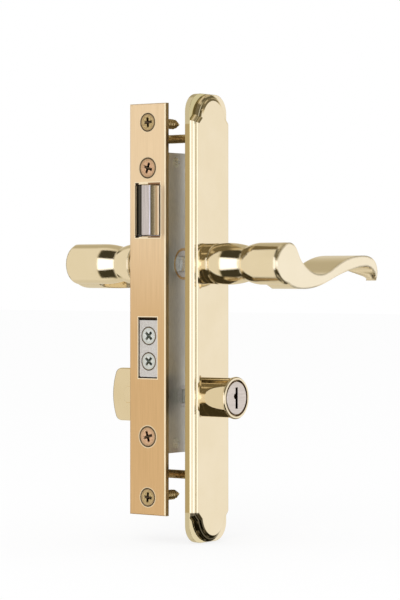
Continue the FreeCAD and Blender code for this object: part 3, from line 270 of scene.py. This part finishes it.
def seat_shades(tree, colour):
    """Painted shade darkens the seats of the faceplate's screws, with a paler ring round each."""
    rim_shade, rim_start, rim_end = (0.80, 0.66, 0.47), 1.045, 1.185
    seat_shade, seat_start, seat_end = (0.2, 0.13, 0.07), 0.955, 1.075
    for node in ("door_edge_screws", "faceplate_case_screws"):
        colour = ringed(tree, colour, node, rim_start, rim_end, rim_shade)
        colour = ringed(tree, colour, node, seat_start, seat_end, seat_shade)
    return colour


def gap_tones(tree, colour, x, z):
    """Painted shade in the gaps round the bolts, with a painted highlight as a pale rim."""
    rim_shade, rim_width = (0.94, 0.82, 0.63), 0.0005
    for node, (below, above) in GAPS.items():
        bolt_low, bolt_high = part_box(node)
        left, right = bolt_low[0] - GAP_ASIDE, bolt_high[0] + GAP_ASIDE
        sides = (left, right, bolt_low[2] - below, bolt_high[2] + above)
        colour = bordered(tree, colour, x, z, sides, rim_width, rim_shade)
        gap = latch_gap(tree, x, colour) if node == "latch_head" else DARK_GAP_SHADE
        colour = bordered(tree, colour, x, z, sides, BORDER_SOFT, gap)
    return colour


def faceplate_tone(tree, colour):
    """Paler at the top than at the bottom, with painted shade at the screws and bolts, a painted highlight
    along one edge and painted shade on the side beyond it.
    """
    low_tint, high_tint, below_middle, above_middle = (0.70, 0.47, 0.25), (0.885, 0.70, 0.49), 0.023, 0.062
    # a painted highlight along the front's edge, and painted shade on the side face beyond it
    edge_highlight, edge_start, edge_end = (0.96, 0.86, 0.66), 0.0009, 0.0002
    side_shade, side_start = (0.36, 0.27, 0.15), 0.0001
    plate_low, plate_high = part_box("faceplate")
    middle, side = (plate_low[2] + plate_high[2]) / 2, plate_high[0]
    x, z = coordinates(tree, "XZ")
    tint = laid(tree, low_tint, high_tint, (z, middle - below_middle, middle + above_middle))
    colour = mixed(tree, 1.0, tint, colour, blend_type="MULTIPLY")
    colour = gap_tones(tree, seat_shades(tree, colour), x, z)
    colour = laid(tree, colour, edge_highlight, *between(x, side - edge_start, side - edge_end, LINE_SOFT))
    return laid(tree, colour, side_shade, rise(x, side - side_start, LINE_SOFT))


# the painted dark reflections on the steps of the outside plate's arches: up or down, from how far behind
# the front to how far, and the shade
ARCH_STEPS = (
    (1, 0.00165, 0.00095, (0.55, 0.5, 0.36)),
    (-1, 0.00335, 0.00015, (0.12, 0.10, 0.065)),
)


def arch_steps(tree, colour, x, z, front, where):
    """Painted dark reflections on the steps of the moulding round the arches."""
    past_middle = 0.01
    for way, start, end, shade in ARCH_STEPS:
        across = between(x, front - start, front - end, BORDER_SOFT)
        step = passed(tree, (z, 0.0, way * past_middle), *across)
        colour = mixed(tree, product(tree, where, step), colour, shade)
    return colour


def plate_tone(tree, colour):
    """The outside plate's sides get painted shade, paler along the arches, and so does the flat behind its
    moulding on the side near the faceplate, darker above than below. The moulding has a fine line of painted
    shade all round, and painted dark reflections on its steps at the arches."""
    upright_shade, arch_shade, line_shade = (0.57, 0.46, 0.25), (0.74, 0.68, 0.50), (0.42, 0.38, 0.25)
    upper_flat, lower_flat, flat_change = (0.64, 0.57, 0.33), (0.80, 0.70, 0.46), 0.02
    arch_height, arch_soft, near_end, near_full = 0.0151, 0.0003, 0.024, 0.019
    side_start, flat_start, flat_end, line_start, line_end = 0.00655, 0.00362, 0.0033, 0.0013, 0.00088
    plate_low, plate_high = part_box("outside_plate")
    front = plate_high[0]
    x, y, z = coordinates(tree, "XYZ")
    upright = passed(tree, *between(z, plate_low[2] + arch_height, plate_high[2] - arch_height, arch_soft))
    near = passed(tree, (y, near_end, near_full))
    side = mixed(tree, upright, arch_shade, upright_shade)
    colour = laid(tree, colour, side, *between(x, front - side_start, front - flat_start, LINE_SOFT))
    flat = passed(tree, *between(x, front - flat_start, front - flat_end, LINE_SOFT))
    flat_shade = laid(tree, lower_flat, upper_flat, rise(z, 0.0, flat_change))
    colour = mixed(tree, product(tree, near, flat), colour, flat_shade)
    colour = laid(tree, colour, line_shade, *between(x, front - line_start, front - line_end, LINE_SOFT))
    near_arch = product(tree, near, math_node(tree, "SUBTRACT", 1.0, upright))
    return arch_steps(tree, colour, x, z, front, near_arch)


def latch_tone(tree, colour):
    """Painted dark reflection on the latch's slope. On its flank, painted shade along the tip, a painted
    shade that lightens towards the root, and a painted highlight at the root.
    """
    slope_shade, tip_shade = (0.022, 0.018, 0.015), (0.2, 0.18, 0.15)
    flank_front, flank_back = (0.36, 0.34, 0.29), (0.60, 0.54, 0.46)
    tip_line, tip_soft, shaded_start, shaded_end = 0.00085, 0.00015, 0.001, 0.005
    root, root_soft, flank_depth = 0.0056, 0.0002, 0.0001
    crest_width, slope_end, slope_soft = 0.0052, 0.0015, 0.0005
    latch_low, latch_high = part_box("latch_head")
    tip, side = latch_low[1], latch_high[0]
    x, y = coordinates(tree, "XY")
    flank = laid(tree, flank_front, flank_back, (y, tip + shaded_start, tip + shaded_end))
    flank = laid(tree, flank, WHITE, rise(y, tip + root, root_soft))
    flank = laid(tree, flank, tip_shade, fall(y, tip + tip_line, tip_soft))
    colour = laid(tree, colour, flank, rise(x, side - flank_depth, LINE_SOFT))
    slope = fall(x, side - crest_width, LINE_SOFT), fall(y, slope_end, slope_soft)
    return laid(tree, colour, slope_shade, *slope)


def head_tone(node, rim=0.905, recess=(0.10, 0.07, 0.045), dome_shade=(0.42, 0.30, 0.18)):
    """Painted shade makes the head darker towards its rim, for a domed look. The rim and the inside of the
    recess get painted shade too.
    """
    rim_shade, rim_end = (0.24, 0.18, 0.12), 1.225
    # painted shade towards the head's rim, for a domed look
    dome_shade_start, dome_shade_full, dome_shade_end, dome_shade_share = 0.45, 0.95, 1.2, 0.55
    recess_front, recess_back, recess_soft, recess_full, recess_end = 0.00035, 0.0019, 0.00015, 0.64, 0.68

    def tone(tree, colour):
        radius, heights = screw_places(node)
        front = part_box(node)[0][1]
        x, y, z = coordinates(tree, "XYZ")
        for height in heights:
            out = from_axis(tree, x, z, 0.0, height)
            outwards = (out, radius * dome_shade_start, radius * dome_shade_full)
            outer = passed(tree, outwards, (out, radius * dome_shade_end, radius))
            colour = mixed(tree, math_node(tree, "MULTIPLY", outer, dome_shade_share), colour, dome_shade)
            depth = between(y, front + recess_front, front + recess_back, recess_soft)
            colour = laid(tree, colour, recess, *depth, (out, radius * recess_end, radius * recess_full))
        return ringed(tree, colour, node, rim, rim_end, rim_shade)
    return tone


def case_tone(tree, colour):
    """Painted shade on the case's front: dark behind the deadbolt's gap, and behind the latch's the same as
    that gap's painted shade.
    """
    beside_tip = (0.85, 0.64, 0.42)
    bolt_end, latch_start, wall_depth = 0.0, 0.005, 0.00015
    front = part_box("case_body")[0][1]
    x, y, z = coordinates(tree, "XYZ")
    gap = laid(tree, DARK_GAP_SHADE, latch_gap(tree, x, beside_tip), (z, bolt_end, latch_start))
    return laid(tree, colour, gap, fall(y, front + wall_depth, BORDER_SOFT))


def housing_tone(tree, colour):
    """Painted shade on the floor of the seat round the plug."""
    shade = (0.30, 0.22, 0.14)
    seat_radius, rim_soft, seat_depth, seat_soft = 0.0088, 0.00003, 0.00095, 0.00015
    box_low, box_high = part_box("cylinder_housing")
    along, height, front = (box_low[1] + box_high[1]) / 2, (box_low[2] + box_high[2]) / 2, box_high[0]
    x, y, z = coordinates(tree, "XYZ")
    inside = fall(from_axis(tree, y, z, along, height), seat_radius, rim_soft)
    return laid(tree, colour, shade, inside, fall(x, front - seat_depth, seat_soft))


def plug_tone(tree, colour):
    """Painted shade on the plug's side and inside its keyway."""
    shade, rim_depth = (0.34, 0.27, 0.20), 0.000275
    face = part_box("key_plug")[1][0]
    [x] = coordinates(tree, "X")
    return laid(tree, colour, shade, fall(x, face - rim_depth, LINE_SOFT))


# finishes

POLISHED = {"light": (0.925, 0.82, 0.63), "deep": (0.90, 0.79, 0.59), "rough": 0.06, "rough_spread": 0.015,
            "grain": 60.0, "bump": 0.01}
NICKEL = {"light": (0.76, 0.70, 0.68), "deep": (0.68, 0.62, 0.60), "rough": 0.16, "rough_spread": 0.03,
          "stretch": UPRIGHT, "grain": 1800.0, "bump": 0.05}
BOLT_SCREW_TONE = head_tone("deadbolt_screws", rim=0.925, recess=(0.27, 0.31, 0.28), dome_shade=(0.55, 0.60, 0.62))
LOOKS = {
    "polished_brass": POLISHED,
    "plate_brass": {**POLISHED, "tone": plate_tone},
    "housing_brass": {**POLISHED, "tone": housing_tone},
    "lever_brass": {**POLISHED, "light": (0.975, 0.885, 0.715), "deep": (0.955, 0.865, 0.685),
                    "edge": 0.0016},
    "satin_brass": {"light": WHITE, "deep": (0.93, 0.92, 0.90), "rough": 0.34, "rough_spread": 0.03,
                    "stretch": UPRIGHT_LONGEST, "grain": 1600.0, "bump": 0.12, "anisotropy": 0.5,
                    "tone": faceplate_tone},
    "brass_screw": {"light": (0.72, 0.58, 0.33), "deep": (0.38, 0.28, 0.13), "rough": 0.3,
                    "rough_spread": 0.06, "grain": 1400.0, "bump": 0.3,
                    "tone": head_tone("door_edge_screws")},
    "copper_screw": {"light": (0.84, 0.58, 0.42), "deep": (0.62, 0.38, 0.25), "rough": 0.28,
                     "rough_spread": 0.05, "grain": 1200.0, "bump": 0.2,
                     "tone": head_tone("faceplate_case_screws")},
    "bolt_screw": {"light": (0.80, 0.86, 0.92), "deep": (0.66, 0.72, 0.78), "rough": 0.26,
                   "rough_spread": 0.05, "bump": 0.15, "tone": BOLT_SCREW_TONE},
    "nickel": NICKEL,
    "latch_nickel": {**NICKEL, "light": (0.75, 0.72, 0.84), "deep": (0.62, 0.60, 0.69), "tone": latch_tone},
    "plug_nickel": {**NICKEL, "light": (0.74, 0.68, 0.66), "deep": (0.66, 0.60, 0.58), "rough": 0.18,
                    "stretch": ACROSS, "tone": plug_tone},
    "cast_zinc": {"light": (0.71, 0.71, 0.74), "deep": (0.59, 0.58, 0.60), "rough": 0.38,
                  "rough_spread": 0.05, "grain": 1500.0, "bump": 0.2},
    "zinc_steel": {"light": (0.74, 0.77, 0.73), "deep": (0.62, 0.65, 0.62), "rough": 0.3,
                   "rough_spread": 0.06, "grain": 700.0, "bump": 0.1},
    "case_steel": {"light": (0.60, 0.61, 0.61), "deep": (0.54, 0.55, 0.56), "rough": 0.33,
                   "rough_spread": 0.05, "stretch": UPRIGHT_SHORT, "grain": 1500.0, "bump": 0.05,
                   "clouds": 60.0, "tone": case_tone},
    "spring_steel": {"light": (0.42, 0.42, 0.43), "deep": (0.33, 0.33, 0.34), "rough": 0.25,
                     "rough_spread": 0.05, "bump": 0.05},
    "bearing_bronze": {"light": (0.60, 0.42, 0.23), "deep": (0.48, 0.32, 0.17), "rough": 0.3,
                       "rough_spread": 0.05, "bump": 0.1},
    "dark_steel": {"light": (0.13, 0.13, 0.13), "deep": (0.07, 0.07, 0.07), "rough": 0.35,
                   "rough_spread": 0.05, "bump": 0.1},
}
# nodes with a look of their own, in place of the one that their slot names
OWN_LOOK = {
    "outside_lever": "lever_brass",
    "inside_lever": "lever_brass",
    "outside_plate": "plate_brass",
    "cylinder_housing": "housing_brass",
    "key_plug": "plug_nickel",
    "latch_head": "latch_nickel",
    "deadbolt_screws": "bolt_screw",
}
MATERIALS = {name: metal(name, **look) for name, look in LOOKS.items()}


def finish_nodes():
    """Gives each CAD node its material."""
    for node, material_slot in SLOT_OF.items():
        slots = frame["nodes"][node].data.materials
        slots.clear()
        slots.append(MATERIALS[OWN_LOOK.get(node, material_slot)])


finish_nodes()


# pieces made of rings of points

def in_scene(name, data):
    """A new object in the scene."""
    holder = bpy.data.objects.new(name, data)
    bpy.context.scene.collection.objects.link(holder)
    return holder


def closed_faces(points, sides):
    """The two ends and the skin of a piece whose points lie in rings of so many sides."""
    faces = [tuple(range(sides)), tuple(range(points - sides, points))]
    for start in range(0, points - sides, sides):
        for step in range(sides):
            first, after = start + step, start + (step + 1) % sides
            faces.append((first, after, after + sides, first + sides))
    return faces


def skinned(name, rings, node):
    """A closed piece of the fixed body with a CAD node's finish. Its skin runs through rings of points."""
    points = [point for ring in rings for point in ring]
    mesh = bpy.data.meshes.new(name)
    mesh.from_pydata(points, [], closed_faces(len(points), len(rings[0])))
    shell = bmesh.new()
    shell.from_mesh(mesh)
    bmesh.ops.recalc_face_normals(shell, faces=shell.faces)
    shell.to_mesh(mesh)
    shell.free()
    mesh.polygons.foreach_set("use_smooth", [True] * len(mesh.polygons))
    mesh.materials.append(MATERIALS[SLOT_OF[node]])
    piece = in_scene(name, mesh)
    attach(piece, "root")
    return piece


# screw threads

STEPS_A_TURN = 20
# the share of its pitch that a ridge reaches to each side, and of its height that it sinks into the shank
RIDGE_HALF, RIDGE_SUNK = 0.36, 0.3


def thread(name, node, base, along, radius_at, length, pitch, height):
    """A screw's thread: a ridge wound round its shank, fading out at both ends."""
    base, along, up = Vector(base), Vector(along), Vector((0, 0, 1))
    sideways = along.cross(up)
    steps = int(length / pitch * STEPS_A_TURN)
    half = pitch * RIDGE_HALF
    rings = []
    for step in range(steps + 1):
        turn = 2 * math.pi * step / STEPS_A_TURN
        run = length * step / steps
        fade = min(1.0, step / STEPS_A_TURN, (steps - step) / STEPS_A_TURN)
        out = up * math.cos(turn) + sideways * math.sin(turn)
        root = radius_at(run) - height * RIDGE_SUNK
        crest = radius_at(run) + height * fade
        corners = ((-half, root), (0.0, crest), (half, root))
        rings.append([base + along * (run + shift) + out * reach for shift, reach in corners])
    skinned(name, rings, node)


def wood_screw_threads():
    """Coarse threads on the two wood screws at the faceplate's ends."""
    threaded, bare_tip, point, point_end = 0.0185, 0.0012, 0.0045, 0.2
    pitch, height = 0.0018, 0.0004
    head_radius, heights = screw_places("door_edge_screws")
    shank, start = head_radius / 2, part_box("door_edge_screws")[1][1] - threaded

    def shank_at(run):
        return shank * min(1.0, point_end + (1.0 - point_end) * (threaded - run) / point)

    for number, axis_height in enumerate(heights):
        thread("wood_screw_thread_%d" % number, "door_edge_screws", (0.0, start, axis_height), (0, 1, 0),
               shank_at, threaded - bare_tip, pitch, height)


def plate_bolt_threads():
    """Fine threads on the two bolts, where they enter the outside plate's posts."""
    length, in_post, pitch, height = 0.016, 0.0005, 0.0008, 0.00015
    bolt_low, bolt_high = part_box("plate_bolts")
    middle, head_radius = (bolt_low[1] + bolt_high[1]) / 2, (bolt_high[1] - bolt_low[1]) / 2
    shank, start = head_radius / 2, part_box("outside_plate")[0][0] - length + in_post
    for number, axis_height in enumerate((bolt_low[2] + head_radius, bolt_high[2] - head_radius)):
        thread("plate_bolt_thread_%d" % number, "plate_bolts", (start, middle, axis_height), (1, 0, 0),
               lambda run: shank, length, pitch, height)


wood_screw_threads()
plate_bolt_threads()


# pressed details of the case

ROUND_STEPS, DOME_STEPS, DOME_HEIGHT = 24, 6, 0.0009


def dome(name, node, centre, out, radius, length=0.0):
    """A low dome on a flat wall: a rivet's head, or an upright rib where it has a length."""
    centre, out, up = Vector(centre), Vector(out), Vector((0, 0, 1))
    across = out.cross(up)
    rings = []
    for level in range(DOME_STEPS + 1):
        lean = math.pi / 2 * level / DOME_STEPS
        reach, rising = radius * math.cos(lean), DOME_HEIGHT * math.sin(lean)
        ring = []
        for step in range(ROUND_STEPS):
            turn = 2 * math.pi * (step + 0.5) / ROUND_STEPS
            end = math.copysign(length / 2, math.sin(turn))
            upwards = reach * math.sin(turn) + end
            ring.append(centre + across * reach * math.cos(turn) + up * upwards + out * rising)
        rings.append(ring)
    skinned(name, rings, node)


def case_details():
    """Rivet heads at the pillars, and two ribs pressed in the case's back."""
    post, rivet, rib, rib_share = 0.0025, 0.0026, 0.003, 0.6
    case_low, case_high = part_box("case_body")
    post_low, post_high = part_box("case_pillars")
    for row, y in enumerate((post_low[1] + post, post_high[1] - post)):
        for column, z in enumerate((post_low[2] + post, post_high[2] - post)):
            dome("rivet_%d_%d" % (row, column), "case_pillars", (case_low[0], y, z), (-1, 0, 0), rivet)
    middle, half = (case_low[2] + case_high[2]) / 2, (case_high[2] - case_low[2]) / 2
    for number, z in enumerate((middle - half / 2, middle + half / 2)):
        dome("back_rib_%d" % number, "case_body", (0.0, case_high[1], z), (0, 1, 0), rib, half * rib_share)


case_details()


# springs

# the wire's thickness, and how much of a turn lies closed at each end
WIRE, CLOSED_TURNS = 0.0009, 0.8
WIRE_SIDES, STEPS_A_COIL = 12, 28


def coil_rings(start, turns, radius, length):
    """Rings of points round the wire of a coil with closed ends, which winds from its start along +Y."""
    along = Vector((0.0, 1.0, 0.0))
    angles = [2 * math.pi * side / WIRE_SIDES for side in range(WIRE_SIDES)]
    pitch = (length - 2 * CLOSED_TURNS * WIRE) / (turns - 2 * CLOSED_TURNS)
    rings = []
    for step in range(turns * STEPS_A_COIL + 1):
        turn = step / STEPS_A_COIL
        tight = min(turn, CLOSED_TURNS) + max(0.0, turn - (turns - CLOSED_TURNS))
        run = WIRE * tight + pitch * (turn - tight)
        out = Vector((math.cos(2 * math.pi * turn), 0.0, math.sin(2 * math.pi * turn)))
        centre = start + out * radius + along * run
        ways = [out * math.cos(angle) + along * math.sin(angle) for angle in angles]
        rings.append([centre + way * WIRE / 2 for way in ways])
    return rings


def spring(node, turns):
    """A coil spring in place of a CAD node, which is hidden."""
    low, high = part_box(node)
    height = (low[2] + high[2]) / 2
    start = Vector((0.0, low[1] + WIRE / 2, height))
    radius, length = (high[0] - low[0] - WIRE) / 2, high[1] - low[1] - WIRE
    coil = skinned(node + "_coil", coil_rings(start, turns, radius, length), node)
    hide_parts(node)
    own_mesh(coil)


spring("latch_spring", turns=7)
spring("hub_spring", turns=6)


# surroundings: plain white for the camera and for light, and a room of light and dark areas in reflections

# Where things lie in the room. Each edge is an axis, and how far a direction leans along it where the thing
# counts 0 and where it counts 1.
ABOVE = (("Z", 0.2, 0.34),)
ZENITH = (("Z", 0.88, 0.94),)
OUTWARDS = (("X", -0.1, 0.0),)
GOLD_LINE = (("X", 0.5, 0.54), ("Z", 0.63, 0.67), ("Z", 0.73, 0.70))
CEILING_LAMP = (("X", 0.1, 0.2), ("X", 0.52, 0.46), ("Y", -0.15, -0.05), ("Z", 0.58, 0.66),
                ("Z", 0.86, 0.82))
BELOW = (("Z", -0.34, -0.46),)
DARK_FLOOR = (("X", -0.54, -0.47),)
FLOOR_LIGHT = (("Z", -0.84, -0.86), ("Z", -0.95, -0.92))
HORIZON = (("X", -0.1, 0.2), ("Z", 0.3, 0.16), ("Z", -0.4, -0.28))
INWARDS = (("X", -0.25, -0.5),)
BEHIND = (("X", -0.2, -0.4), ("Y", 0.1, 0.3))
UPWARDS = (("Z", 0.2, 0.62),)
DARK_END = (("X", -0.78, -0.86), ("Y", 0.1, 0.2))
DARK_STRIP = (("Y", -0.03, -0.12), ("X", -0.57, -0.52), ("X", -0.08, -0.14))
SOFTBOX = (*DARK_STRIP, ("Z", 0.5, 0.45), ("Z", -0.5, -0.45))
SIDE_LAMP = (("X", 0.62, 0.72), ("Y", -0.2, -0.35), ("Z", 0.16, 0.1), ("Z", -0.16, -0.1))
# Areas of the room. Each is a brightness, and the brightnesses or areas that are laid over it in turn.
CEILING = (0.17, ((0.62, GOLD_LINE), (0.5, CEILING_LAMP)))
UPPER_ROOM = (0.5, ((CEILING, OUTWARDS),))
LOWER_ROOM = (0.5, ((0.05, DARK_FLOOR), (0.6, FLOOR_LIGHT)))
WALL_BEHIND = (0.66, ((0.46, UPWARDS),))
ROOM = (0.82, (
    (UPPER_ROOM, ABOVE),
    (0.6, ZENITH),
    (LOWER_ROOM, BELOW),
    (0.93, HORIZON),
    (0.76, INWARDS),
    (WALL_BEHIND, BEHIND),
    (0.03, DARK_END),
    (0.05, DARK_STRIP),
    (1.0, SOFTBOX),
    (1.0, SIDE_LAMP),
))
# how much brighter than white the softbox and the side lamp are
LAMP_GAIN = 0.45
# the room's colour at each brightness
WARMTH = (
    (0.0, (0.0, 0.0, 0.0)),
    (0.1, (0.10, 0.084, 0.045)),
    (0.5, (0.53, 0.46, 0.31)),
    (0.8, (0.82, 0.75, 0.60)),
    (1.0, WHITE),
)


def ramp(tree, value, stops):
    """A colour from stops of a place and a colour."""
    holder = add(tree, "ShaderNodeValToRGB", {"Fac": value})
    elements = holder.color_ramp.elements
    for number, (place, colour) in enumerate(stops):
        stop = elements[number] if number < 2 else elements.new(place)
        stop.position = place
        stop.color = (*colour, 1.0)
    return holder.outputs["Color"]


def by_ray(tree, plain, reflected, seen):
    """Mixes three shaders: one for light, one in reflections and one for the camera."""
    path = add(tree, "ShaderNodeLightPath").outputs
    glossy = math_node(tree, "MAXIMUM", path["Is Glossy Ray"], path["Is Transmission Ray"])
    return blended(tree, path["Is Camera Ray"], blended(tree, glossy, plain, reflected), seen)


def extent(tree, towards, thing):
    """1 in the directions where a thing in the room lies."""
    return passed(tree, *[(towards[axis], clear, full) for axis, clear, full in thing])


def brightness(tree, towards, area):
    """How bright an area of the room is in each direction."""
    if not isinstance(area, tuple):
        return area
    level, laid_over = area
    for inner, thing in laid_over:
        share = extent(tree, towards, thing)
        level = mixed(tree, share, level, brightness(tree, towards, inner), "FLOAT")
    return level


def studio():
    """The world: plain white, and the room in reflections."""
    world = bpy.data.worlds.new("studio")
    bpy.context.scene.world = world
    world.use_nodes = True
    tree = world.node_tree
    tree.nodes.clear()
    towards = dict(zip("XYZ", coordinates(tree, "XYZ", "Generated")))
    colour = ramp(tree, brightness(tree, towards, ROOM), WARMTH)
    lamps = math_node(tree, "ADD", *[extent(tree, towards, lamp) for lamp in (SOFTBOX, SIDE_LAMP)])
    strength = math_node(tree, "MULTIPLY_ADD", lamps, LAMP_GAIN, 1.0)
    room = add(tree, "ShaderNodeBackground", {"Color": colour, "Strength": strength}).outputs[0]
    white = add(tree, "ShaderNodeBackground", {"Color": WHITE, "Strength": 1.0}).outputs[0]
    add(tree, "ShaderNodeOutputWorld", {"Surface": by_ray(tree, white, room, white)})


def floor_paint():
    """White paint that keeps a faint shadow. Reflections pass through it to the room."""
    grey, glow = (0.9, 0.9, 0.9), 0.8
    material = bpy.data.materials.new("floor_paint")
    material.use_nodes = True
    tree = material.node_tree
    tree.nodes.clear()
    paint = add(tree, "ShaderNodeBsdfDiffuse", {"Color": grey}).outputs[0]
    white = add(tree, "ShaderNodeEmission", {"Color": WHITE, "Strength": 1.0}).outputs[0]
    clear = add(tree, "ShaderNodeBsdfTransparent").outputs[0]
    shown = blended(tree, glow, paint, white)
    add(tree, "ShaderNodeOutputMaterial", {"Surface": by_ray(tree, paint, clear, shown)})
    return material


def plain_floor():
    """A wide floor just under the object."""
    half, height = 6.0, cad_low[2] - 0.0003
    mesh = bpy.data.meshes.new("floor")
    corners = [(-half, -half, height), (half, -half, height), (half, half, height), (-half, half, height)]
    mesh.from_pydata(corners, [], [(0, 1, 2, 3)])
    mesh.materials.append(floor_paint())
    floor = in_scene("floor", mesh)


def aim(holder, place, forward):
    """Puts a lamp or a camera at a place, facing forward."""
    holder.location = place
    holder.rotation_mode = "QUATERNION"
    holder.rotation_quaternion = forward.to_track_quat("-Z", "Y")


def key_lamp():
    """A soft lamp above the camera's side of the object, which reflections don't show."""
    place, size, power = Vector((0.6, -1.3, 1.2)), 0.8, 6.0
    light = bpy.data.lights.new("key", "AREA")
    light.size = size
    light.energy = power
    holder = in_scene("key", light)
    holder.visible_glossy = False
    aim(holder, place, -place)


plain_floor()
studio()
key_lamp()


# camera, as fitted to the corners of the faceplate

AZIMUTH = math.radians(37.0)
DISTANCE, ASIDE, HEIGHT, NEAREST = 1.2, 0.02544, -0.00543, 0.05
# in millimetres
FILM_SIZE, FOCAL_LENGTH = 36.0, 148.15
# in pixels of the photograph
PICTURE_HEIGHT, PICTURE_SHIFT = 600.0, -25.0


def make_camera():
    """Level, 37 degrees round from straight in front of the faceplate, and 1.2 m away."""
    lens = bpy.data.cameras.new("camera")
    lens.sensor_width = FILM_SIZE
    lens.lens = FOCAL_LENGTH
    lens.shift_y = PICTURE_SHIFT / PICTURE_HEIGHT
    lens.clip_start = NEAREST
    camera = in_scene("camera", lens)
    forward = Vector((-math.sin(AZIMUTH), math.cos(AZIMUTH), 0.0))
    sideways = Vector((math.cos(AZIMUTH), math.sin(AZIMUTH), 0.0))
    aim(camera, sideways * ASIDE - forward * DISTANCE + Vector((0.0, 0.0, HEIGHT)), forward)
    bpy.context.scene.camera = camera


make_camera()
bpy.context.scene.view_settings.view_transform = "Standard"
